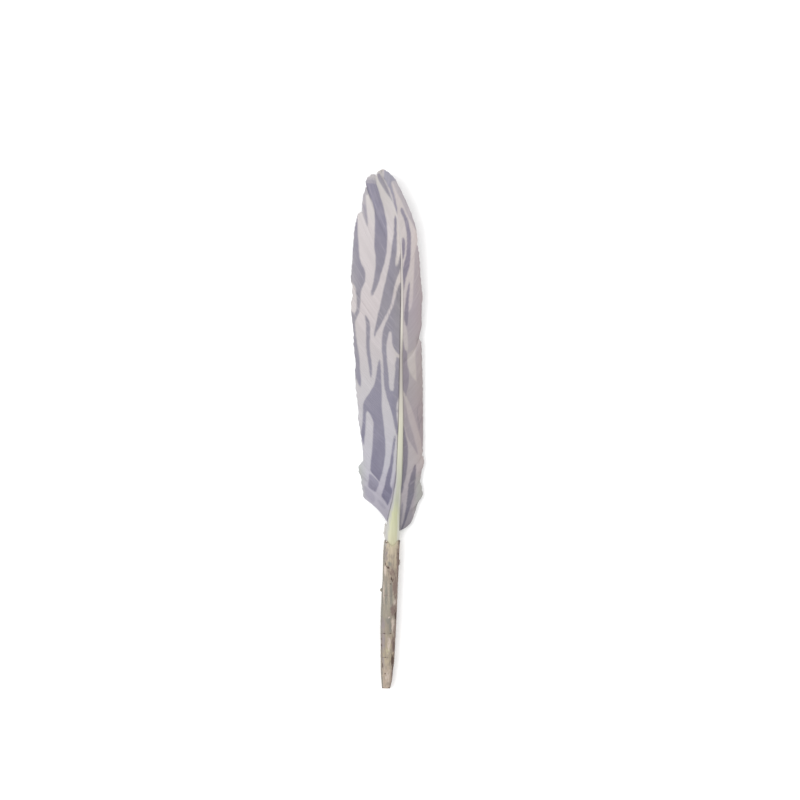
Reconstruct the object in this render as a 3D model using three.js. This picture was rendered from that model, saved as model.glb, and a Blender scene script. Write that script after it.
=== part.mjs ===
// Goose quill feather, lying flat on its back: the long bare quill towards -Y, the tip towards +Y
// and the grooved underside of the shaft towards +Z. Millimetres, +Z up. The origin is on the
// surface that the feather lies on, under the middle of its box.
//
// Three pieces: the shaft, which grew as one from the quill to the tip, and the vane on each side.
import * as THREE from 'three';
import { LoftGeometry } from 'three/addons/geometries/LoftGeometry.js';

// --- Shaft ---
const SHAFT_SIDES = 16; // an even count, so that a flat strip runs along the underside
const RING_SPACING = 2.6;
const QUILL_END = -80;
const SHAFT_TIP = 79.4;

// Stations along the shaft: Y, centre X, width, depth, height of the underside.
const SHAFT = [
  [-80.0, -0.4, 2.1, 2.0, 0.5],
  [-77.6, -0.2, 2.8, 2.6, 0.3],
  [-74.5, -0.1, 3.3, 3.1, 0.15],
  [-71.4, 0.1, 3.7, 3.4, 0.05],
  [-65.5, 0.2, 4.1, 3.8, 0.0],
  [-56.3, 0.5, 4.5, 4.1, 0.0],
  [-45.1, 1.0, 4.4, 4.1, 0.0],
  [-37.4, 1.3, 4.5, 4.1, 0.0],
  [-31.2, 1.7, 4.4, 4.0, 0.0],
  [-28.1, 2.0, 4.0, 3.8, 0.0],
  [-25.0, 2.4, 3.3, 3.5, 0.0],
  [-21.9, 2.9, 2.7, 3.3, 0.0],
  [-18.8, 3.2, 2.25, 3.1, 0.0],
  [-15.8, 3.6, 2.0, 2.9, 0.0],
  [-9.6, 3.9, 1.9, 2.7, 0.0],
  [-3.4, 4.1, 1.75, 2.5, 0.0],
  [2.8, 4.25, 1.5, 2.3, 0.0],
  [9.0, 4.3, 1.3, 2.1, 0.1],
  [15.2, 4.3, 1.1, 1.9, 0.2],
  [21.3, 4.35, 0.95, 1.75, 0.5],
  [30.6, 4.5, 0.9, 1.5, 1.0],
  [39.9, 4.65, 0.85, 1.3, 1.6],
  [49.2, 4.55, 0.7, 1.0, 2.4],
  [55.4, 4.4, 0.6, 0.85, 3.0],
  [62.2, 3.7, 0.5, 0.7, 3.7],
  [68.7, 2.2, 0.4, 0.55, 4.4],
  [75.5, -0.15, 0.35, 0.45, 5.1],
  [79.4, -1.6, 0.3, 0.35, 5.4],
];

// The quill is round, and the shaft between the vanes is squarer.
const QUILL_ROUNDNESS = 1.0;
const RACHIS_ROUNDNESS = 0.78;
const ROUND_UNTIL = -30;
const SQUARE_FROM = -15;

// The dried sheath round the quill ends in a torn rim with one deep notch on the upper face.
const SHEATH_THICKNESS = 0.22;
const SHEATH_RIM = -34.5;
const RIM_STEP = 0.25;
const RIM_WAVE = 0.35;
const RIM_NOTCH_DEPTH = 2.2;
const RIM_NOTCH_WIDTH = 0.35; // radians
const RIM_NOTCH_AT = THREE.MathUtils.degToRad(95);

// The quill is hollow, and shows it where its end is cut.
const BORE_SHARE = 0.5;
const BORE_DEPTH = 3;
const BORE_FLOOR_RISE = 0.3; // the dry pith bulges a little at the bore's floor

// --- Vanes ---
const VANE_GAP = 0.12; // clear space between vane and shaft
const ATTACH_SHARE = 0.35; // where a barb leaves the shaft, as a share of the shaft's depth
const ROOT_THICKNESS = 0.45;
const ROOT_DEPTH_SHARE = 0.4;
const EDGE_THICKNESS = 0.24;
const ROW_SPACING = 1.7;
const RIDGE_HEIGHT = 0.12; // barbs lie in ridges, so the vane is ribbed like cord
const SAG_SHARE = 0.015; // how far a barb dips between its ends, as a share of its length

// Each vane is set out by its barbs, from the quill end up:
// Y where the barb leaves the shaft, then X, Y and the underside's height at its free end.
const LEFT_VANE = {
  side: -1,
  columns: 7,
  bow: 0.035,
  barbs: [
    [-27.9, -6.5, -22.1, 0.6],
    [-27.3, -7.3, -19.6, 0.5],
    [-26.0, -8.0, -15.9, 0.35],
    [-23.6, -8.9, -12.7, 0.1],
    [-21.6, -8.7, -10.7, 0.0],
    [-20.9, -7.8, -10.0, 0.05],
    [-20.1, -7.4, -9.3, 0.1],
    [-16.4, -7.8, -4.9, 0.2],
    [-11.1, -8.6, 0.6, 0.3],
    [-6.3, -9.2, 6.5, 0.35],
    [-1.2, -9.8, 12.7, 0.35],
    [3.3, -10.1, 18.3, 0.3],
    [5.6, -9.9, 21.3, 0.25],
    [13.0, -10.6, 30.6, 0.1],
    [17.0, -10.9, 35.6, 0.0],
    [19.5, -11.4, 38.7, 0.0],
    [21.5, -10.9, 41.1, 0.0],
    [23.2, -10.9, 43.0, 0.1],
    [25.5, -11.4, 46.1, 0.25],
    [28.0, -11.3, 49.2, 0.5],
    [32.2, -10.7, 54.4, 1.1],
    [37.9, -10.3, 61.5, 2.0],
    [40.5, -9.7, 64.9, 2.4],
    [41.8, -9.0, 66.6, 2.6],
    [42.4, -8.0, 67.1, 2.7],
    [44.8, -7.9, 69.3, 3.0],
    [47.6, -7.7, 72.4, 3.5],
    [49.8, -6.4, 75.1, 3.9],
    [51.6, -6.7, 76.7, 4.2],
    [53.5, -6.4, 78.3, 4.5],
    [58.5, -4.6, 78.8, 4.7],
    [66.2, -2.9, 79.7, 5.1],
    [73.9, -2.2, 79.9, 5.3],
    [77.6, -2.0, 79.9, 5.3],
  ],
};
const RIGHT_VANE = {
  side: 1,
  columns: 6,
  bow: 0.09,
  barbs: [
    [-31.1, 6.7, -29.4, 1.3],
    [-30.8, 7.7, -28.1, 1.3],
    [-30.3, 8.4, -26.3, 1.3],
    [-29.4, 8.9, -24.1, 1.3],
    [-27.5, 10.1, -21.6, 1.4],
    [-26.3, 11.1, -20.1, 1.4],
    [-23.5, 10.5, -17.3, 1.4],
    [-21.3, 10.5, -15.1, 1.4],
    [-18.8, 11.0, -12.4, 1.4],
    [-16.7, 11.4, -10.2, 1.4],
    [-15.3, 11.1, -8.6, 1.35],
    [-14.8, 10.5, -8.0, 1.35],
    [-14.4, 10.9, -7.1, 1.35],
    [-11.1, 11.1, -3.4, 1.3],
    [-2.5, 11.1, 5.9, 1.2],
    [5.9, 10.9, 14.5, 1.5],
    [14.9, 10.7, 23.5, 2.1],
    [18.9, 10.5, 27.2, 2.3],
    [20.1, 9.9, 28.3, 2.35],
    [21.3, 10.4, 30.0, 2.5],
    [23.5, 10.7, 32.2, 2.6],
    [30.0, 10.7, 39.0, 3.2],
    [31.4, 11.0, 40.5, 3.3],
    [36.5, 10.4, 46.1, 3.8],
    [45.2, 9.8, 54.7, 4.5],
    [47.8, 9.2, 57.4, 4.7],
    [48.6, 9.4, 58.5, 4.8],
    [52.3, 8.9, 61.9, 5.1],
    [56.6, 7.7, 65.9, 5.4],
    [60.6, 6.1, 69.3, 5.6],
    [64.9, 4.3, 73.0, 5.7],
    [69.3, 2.4, 76.7, 5.8],
    [72.7, 0.9, 78.5, 5.8],
    [75.1, -0.1, 79.5, 5.8],
    [77.6, -0.8, 80.0, 5.7],
  ],
};

// --- Materials ---
const KERATIN = { color: '#bfb79f', roughness: 0.5, metalness: 0 };
const PRINTED_VANE = { color: '#b3aeb4', roughness: 0.85, metalness: 0 };

// The shaft's centre, width, depth and underside at any Y.
const shaftCurve = new THREE.CubicInterpolant(
  SHAFT.map(([y]) => y),
  SHAFT.flatMap(([, ...values]) => values),
  4,
  new Float64Array(4),
);

function shaftAt(y) {
  const [x, width, depth, under] = shaftCurve.evaluate(y);
  return { x, width, depth, under: Math.max(0, under) };
}

// One ring round the shaft, starting at -X and going over the top. Its lowest edge lies level.
function shaftRing(y, { extra = 0, scale = 1, rimOffset = () => 0 } = {}) {
  const { x, width, depth, under } = shaftAt(y);
  const squareness = THREE.MathUtils.smoothstep(y, ROUND_UNTIL, SQUARE_FROM);
  const power = THREE.MathUtils.lerp(QUILL_ROUNDNESS, RACHIS_ROUNDNESS, squareness);
  const round = (value) => Math.sign(value) * Math.abs(value) ** power;
  const lowest = round(Math.cos(Math.PI / SHAFT_SIDES));
  const halfWidth = width / 2 + extra;
  const halfDepth = (depth / 2 + extra) / ((1 + lowest) / 2);
  const centreZ = under + halfDepth * lowest;
  return Array.from({ length: SHAFT_SIDES }, (_, i) => {
    const angle = ((i + 0.5) / SHAFT_SIDES) * 2 * Math.PI;
    return new THREE.Vector3(
      x - scale * halfWidth * round(Math.cos(angle)),
      y + rimOffset(angle),
      centreZ + scale * halfDepth * round(Math.sin(angle)),
    );
  });
}

// How far the sheath's rim stands from its mean place, round the quill.
function tornRim(angle) {
  const notch = RIM_NOTCH_DEPTH * Math.exp(-(((angle - RIM_NOTCH_AT) / RIM_NOTCH_WIDTH) ** 2));
  return RIM_WAVE * Math.sin(3 * angle) - notch;
}

function evenSteps(from, to, spacing) {
  const count = Math.max(1, Math.ceil((to - from) / spacing));
  return Array.from({ length: count }, (_, i) => from + ((to - from) * i) / count);
}

function makeShaft() {
  const sheathed = { extra: SHEATH_THICKNESS };
  const rimClear = RIM_NOTCH_DEPTH + RIM_WAVE + 1;
  const bore = { scale: BORE_SHARE };
  const sections = [
    shaftRing(QUILL_END + BORE_DEPTH - BORE_FLOOR_RISE, { scale: BORE_SHARE / 2 }),
    shaftRing(QUILL_END + BORE_DEPTH, bore),
    shaftRing(QUILL_END, bore),
    ...evenSteps(QUILL_END, SHEATH_RIM - rimClear, RING_SPACING).map((y) => shaftRing(y, sheathed)),
    shaftRing(SHEATH_RIM - rimClear, sheathed),
    shaftRing(SHEATH_RIM, { ...sheathed, rimOffset: tornRim }),
    shaftRing(SHEATH_RIM + RIM_STEP, { rimOffset: tornRim }),
    ...evenSteps(SHEATH_RIM + RIM_WAVE + 1, SHAFT_TIP, RING_SPACING).map((y) => shaftRing(y)),
    shaftRing(SHAFT_TIP),
  ];
  return new LoftGeometry(sections, { capStart: true, capEnd: true });
}

// The barbs of a vane, with more set evenly between the given ones.
function vaneBarbs(given) {
  const barbs = given.slice(0, -1).flatMap((barb, i) => {
    const next = given[i + 1];
    const reach = Math.max(next[0] - barb[0], next[2] - barb[2]);
    const count = Math.max(1, Math.round(reach / ROW_SPACING));
    return Array.from({ length: count }, (_, k) =>
      barb.map((value, j) => THREE.MathUtils.lerp(value, next[j], k / count)),
    );
  });
  return [...barbs, given.at(-1)];
}

// One barb as a closed strip: over the top from -X to +X and back along the underside.
function barbSection([rootY, tipX, tipY, tipUnder], { side, columns, bow }, ridge) {
  const shaft = shaftAt(rootY);
  const rootUnder = shaft.under + ATTACH_SHARE * shaft.depth;
  const rootThickness = THREE.MathUtils.clamp(
    ROOT_DEPTH_SHARE * shaft.depth, EDGE_THICKNESS, ROOT_THICKNESS,
  );
  const root = new THREE.Vector2(shaft.x + side * (shaft.width / 2 + VANE_GAP), rootY);
  const tip = new THREE.Vector2(tipX, tipY);
  const run = tip.clone().sub(root);
  const outward = new THREE.Vector2(side * Math.abs(run.y), -Math.abs(run.x));
  const middle = root.clone().lerp(tip, 0.5).addScaledVector(outward, 2 * bow);
  const curve = new THREE.QuadraticBezierCurve(root, middle, tip);

  const steps = Array.from({ length: columns + 1 }, (_, i) => i / columns);
  const fromLeft = side < 0 ? steps.toReversed() : steps;
  const point = (share, raised) => {
    const at = curve.getPoint(share);
    const dip = SAG_SHARE * run.length() * 4 * share * (1 - share);
    const under = Math.max(0, THREE.MathUtils.lerp(rootUnder, tipUnder, share) - dip);
    const thickness = THREE.MathUtils.lerp(rootThickness, EDGE_THICKNESS, share);
    return new THREE.Vector3(at.x, at.y, under + raised * (thickness + ridge * Math.sin(Math.PI * share)));
  };
  return [
    ...fromLeft.map((share) => point(share, 1)),
    ...fromLeft.toReversed().map((share) => point(share, 0)),
  ];
}

function makeVane(vane) {
  const sections = vaneBarbs(vane.barbs).map((barb, row) =>
    barbSection(barb, vane, row % 2 ? RIDGE_HEIGHT : 0),
  );
  return new LoftGeometry(sections, { capStart: true, capEnd: true });
}

function makePiece(name, geometry, finish) {
  const mesh = new THREE.Mesh(geometry, new THREE.MeshStandardMaterial(finish));
  mesh.name = name;
  return mesh;
}

const feather = new THREE.Group();
feather.add(
  makePiece('shaft', makeShaft(), KERATIN),
  makePiece('left_vane', makeVane(LEFT_VANE), PRINTED_VANE),
  makePiece('right_vane', makeVane(RIGHT_VANE), PRINTED_VANE),
);

export default feather;
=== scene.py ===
"""A goose wing feather with a striped print, lying on its back on a pale studio floor.

The tables hold millimetres in the frame of the model: +Y towards the tip, +X towards the narrow
vane, +Z up. The meshes are made in metres in that frame.
"""

import logging
import math
from dataclasses import dataclass, field
from enum import Enum
from functools import partial
from typing import Any, Mapping, Sequence

import bmesh
import bpy
import numpy as np
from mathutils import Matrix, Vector, noise


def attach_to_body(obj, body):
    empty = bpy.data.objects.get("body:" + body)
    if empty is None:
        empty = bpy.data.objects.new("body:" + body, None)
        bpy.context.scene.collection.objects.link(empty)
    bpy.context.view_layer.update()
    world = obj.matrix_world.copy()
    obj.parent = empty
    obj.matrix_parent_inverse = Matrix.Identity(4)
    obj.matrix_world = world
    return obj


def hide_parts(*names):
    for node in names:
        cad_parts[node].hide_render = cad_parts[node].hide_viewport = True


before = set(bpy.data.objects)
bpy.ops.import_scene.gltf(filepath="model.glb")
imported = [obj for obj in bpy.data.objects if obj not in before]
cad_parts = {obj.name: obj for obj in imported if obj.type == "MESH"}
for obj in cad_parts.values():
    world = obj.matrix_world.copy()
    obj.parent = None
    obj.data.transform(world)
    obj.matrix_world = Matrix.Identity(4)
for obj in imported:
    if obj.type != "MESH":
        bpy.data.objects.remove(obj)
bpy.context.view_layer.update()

MM = 0.001
BODY = "root"

# The light is strong enough to turn the paper white, so finishes keep this share of theirs.
DIMMING = 0.775

log = logging.getLogger("feather")

Rows = Sequence[Sequence[float]]
Stops = Sequence[tuple[float, str]]
Tree = bpy.types.NodeTree

# The nodes that nearly every tree needs.
MATH = "ShaderNodeMath"
VECTOR = "ShaderNodeVectorMath"
RANGE = "ShaderNodeMapRange"
SPLIT = "ShaderNodeSeparateXYZ"
MESH_VALUE = "ShaderNodeAttribute"
POINT_VALUE = "GeometryNodeInputNamedAttribute"


# --- Small tools ---------------------------------------------------------------------------------


def linear(colour: str, share: float = 1.0) -> tuple[float, float, float, float]:
    """Turns an sRGB hex colour into the linear one that shaders use.

    Args:
        colour: A colour such as "#c8b9a0".
        share: Share of its light that stays.

    Returns:
        Red, green, blue and an alpha of 1.
    """
    parts = [int(colour[i : i + 2], 16) / 255 for i in (1, 3, 5)]
    light = [p / 12.92 if p <= 0.04045 else ((p + 0.055) / 1.055) ** 2.4 for p in parts]
    return (*(share * value for value in light), 1.0)


def add_node(
    tree: Tree, kind: str, inputs: Mapping[str, Any] | Sequence[Any] = (), out: str | int = 0,
    **settings: Any,
) -> Any:
    """Adds a node with its settings and joins or sets its inputs.

    Args:
        tree: The tree that gets the node.
        kind: The node's type.
        inputs: Values or sockets, in order or by the input's identifier or name.
        out: The number, identifier or name of the output that is wanted.
        **settings: The node's own settings.

    Returns:
        That output, or None where the node has none.
    """
    node = tree.nodes.new(kind)
    for name, value in settings.items():
        setattr(node, name, value)

    def pick(sockets: Any, key: str | int) -> Any:
        """Finds a socket by its number, identifier or name."""
        if isinstance(key, int):
            return sockets[key]
        return next((s for s in sockets if s.identifier == key), None) or sockets[key]

    given = inputs.items() if isinstance(inputs, Mapping) else enumerate(inputs)
    for key, value in given:
        socket = pick(node.inputs, key)
        if isinstance(value, bpy.types.NodeSocket):
            tree.links.new(value, socket)
        elif value is not None:
            socket.default_value = value
    return pick(node.outputs, out) if len(node.outputs) else None


def smooth_step(value: np.ndarray, low: float, high: float) -> np.ndarray:
    """Rises softly from 0 at low to 1 at high."""
    share = np.clip((value - low) / (high - low), 0, 1)
    return share * share * (3 - 2 * share)


def read_rows(rows: Rows, at: np.ndarray) -> np.ndarray:
    """Reads a table on a smooth curve through its rows.

    Args:
        rows: Rows whose first number is the place and rises from row to row.
        at: The places to read.

    Returns:
        One row of the other columns' values for each place.
    """
    table = np.array(rows, float)
    place, values = table[:, 0], table[:, 1:]
    slope = np.diff(values, axis=0) / np.diff(place)[:, None]
    tangent = np.vstack([slope[:1], (slope[1:] + slope[:-1]) / 2, slope[-1:]])
    i = np.clip(np.searchsorted(place, at) - 1, 0, len(place) - 2)
    span = (place[i + 1] - place[i])[:, None]
    t = (at - place[i])[:, None] / span
    return (
        (2 * t**3 - 3 * t**2 + 1) * values[i]
        + (t**3 - 2 * t**2 + t) * span * tangent[i]
        + (3 * t**2 - 2 * t**3) * values[i + 1]
        + (t**3 - t**2) * span * tangent[i + 1]
    )


def loft(name: str, rings: np.ndarray, loop: bool = False) -> bpy.types.Object:
    """Makes a closed mesh through rings of points.

    Args:
        name: The new object's name.
        rings: Points in millimetres, as ring by point by coordinate.
        loop: True joins the last ring to the first, False closes both ends with a fan.

    Returns:
        The object, smooth shaded, with its faces turned outwards.
    """
    count, sides = rings.shape[:2]
    points = rings.reshape(-1, 3)
    faces = []
    for ring in range(count if loop else count - 1):
        low, high = ring * sides, (ring + 1) % count * sides
        for i in range(sides):
            j = (i + 1) % sides
            faces.append((low + i, low + j, high + j, high + i))
    if not loop:
        points = np.vstack([points, rings[0].mean(axis=0), rings[-1].mean(axis=0)])
        for start, centre in ((0, count * sides), ((count - 1) * sides, count * sides + 1)):
            faces += [(start + i, start + (i + 1) % sides, centre) for i in range(sides)]
    mesh = bpy.data.meshes.new(name)
    mesh.from_pydata((points * MM).tolist(), [], faces)
    body = bmesh.new()
    body.from_mesh(mesh)
    bmesh.ops.recalc_face_normals(body, faces=body.faces[:])
    body.to_mesh(mesh)
    body.free()
    mesh.shade_smooth()
    piece = bpy.data.objects.new(name, mesh)
    bpy.context.scene.collection.objects.link(piece)
    return piece


def points_of(mesh: bpy.types.Mesh) -> np.ndarray:
    """Reads a mesh's points.

    Args:
        mesh: The mesh.

    Returns:
        X, Y and Z of each point, in millimetres.
    """
    flat = np.empty(len(mesh.vertices) * 3, np.float32)
    mesh.vertices.foreach_get("co", flat)
    return flat.reshape(-1, 3) / MM


def store(mesh: bpy.types.Mesh, name: str, values: np.ndarray) -> None:
    """Writes one number for each point of a mesh as a named attribute."""
    attribute = mesh.attributes.new(name, "FLOAT", "POINT")
    attribute.data.foreach_set("value", values.astype(np.float32))


def hand_over(piece: bpy.types.Object, node: str) -> None:
    """Makes a finished piece stand for its node, whose solid it hides, and ride on the body.

    Args:
        piece: The finished piece.
        node: The solid that it stands for.
    """
    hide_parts(node)
    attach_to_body(piece, BODY)
    log.info("%s: %d faces", piece.name, len(piece.data.polygons))


# --- Print ---------------------------------------------------------------------------------------


class Ink(Enum):
    """How strongly a stripe is dyed. The value is its share of the full dye."""

    FULL = 1.0
    WORN = 0.75
    THIN = 0.48
    FAINT = 0.28

    @property
    def attribute(self) -> str:
        """The mesh attribute that holds how deep a point lies inside such stripes."""
        return f"ink_{self.name.lower()}"


@dataclass(frozen=True)
class Stripe:
    """One stripe, set out from its upper end down."""

    ink: Ink  # how strongly it is dyed
    rows: Rows  # Y, then X of its left and right edge

    def outline(self, rounds: int = 2) -> np.ndarray:
        """Gives the closed outline with its corners cut.

        Args:
            rounds: How often each corner is cut.

        Returns:
            The outline's points, X and Y.
        """
        left = [(x, y) for y, x, _ in self.rows]
        right = [(x, y) for y, _, x in self.rows]
        points = np.array(left + right[::-1], float)
        for _ in range(rounds):
            after = np.roll(points, -1, axis=0)
            cut = np.stack([points * 0.75 + after * 0.25, points * 0.25 + after * 0.75], axis=1)
            points = cut.reshape(-1, 2)
        return points

    def depth_at(self, points: np.ndarray, reach: float) -> np.ndarray:
        """Measures how deep points lie inside the stripe.

        Args:
            points: X and Y of each point.
            reach: Beyond this distance outside, the exact depth doesn't matter.

        Returns:
            The distance to the outline, positive inside and negative outside.
        """
        outline = self.outline()
        depth = np.full(len(points), -reach)
        low, high = outline.min(axis=0) - reach, outline.max(axis=0) + reach
        near = np.all((points > low) & (points < high), axis=1)
        x, y = points[near].T
        distance = np.full(len(x), reach)
        inside = np.zeros(len(x), bool)
        for (ax, ay), (bx, by) in zip(outline, np.roll(outline, -1, axis=0)):
            dx, dy = bx - ax, by - ay
            share = np.clip(((x - ax) * dx + (y - ay) * dy) / max(dx * dx + dy * dy, 1e-9), 0, 1)
            distance = np.minimum(distance, np.hypot(x - ax - share * dx, y - ay - share * dy))
            if ay != by:
                inside ^= ((ay > y) != (by > y)) & (x < ax + dx * (y - ay) / dy)
        depth[near] = np.where(inside, distance, -distance)
        return depth


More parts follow.
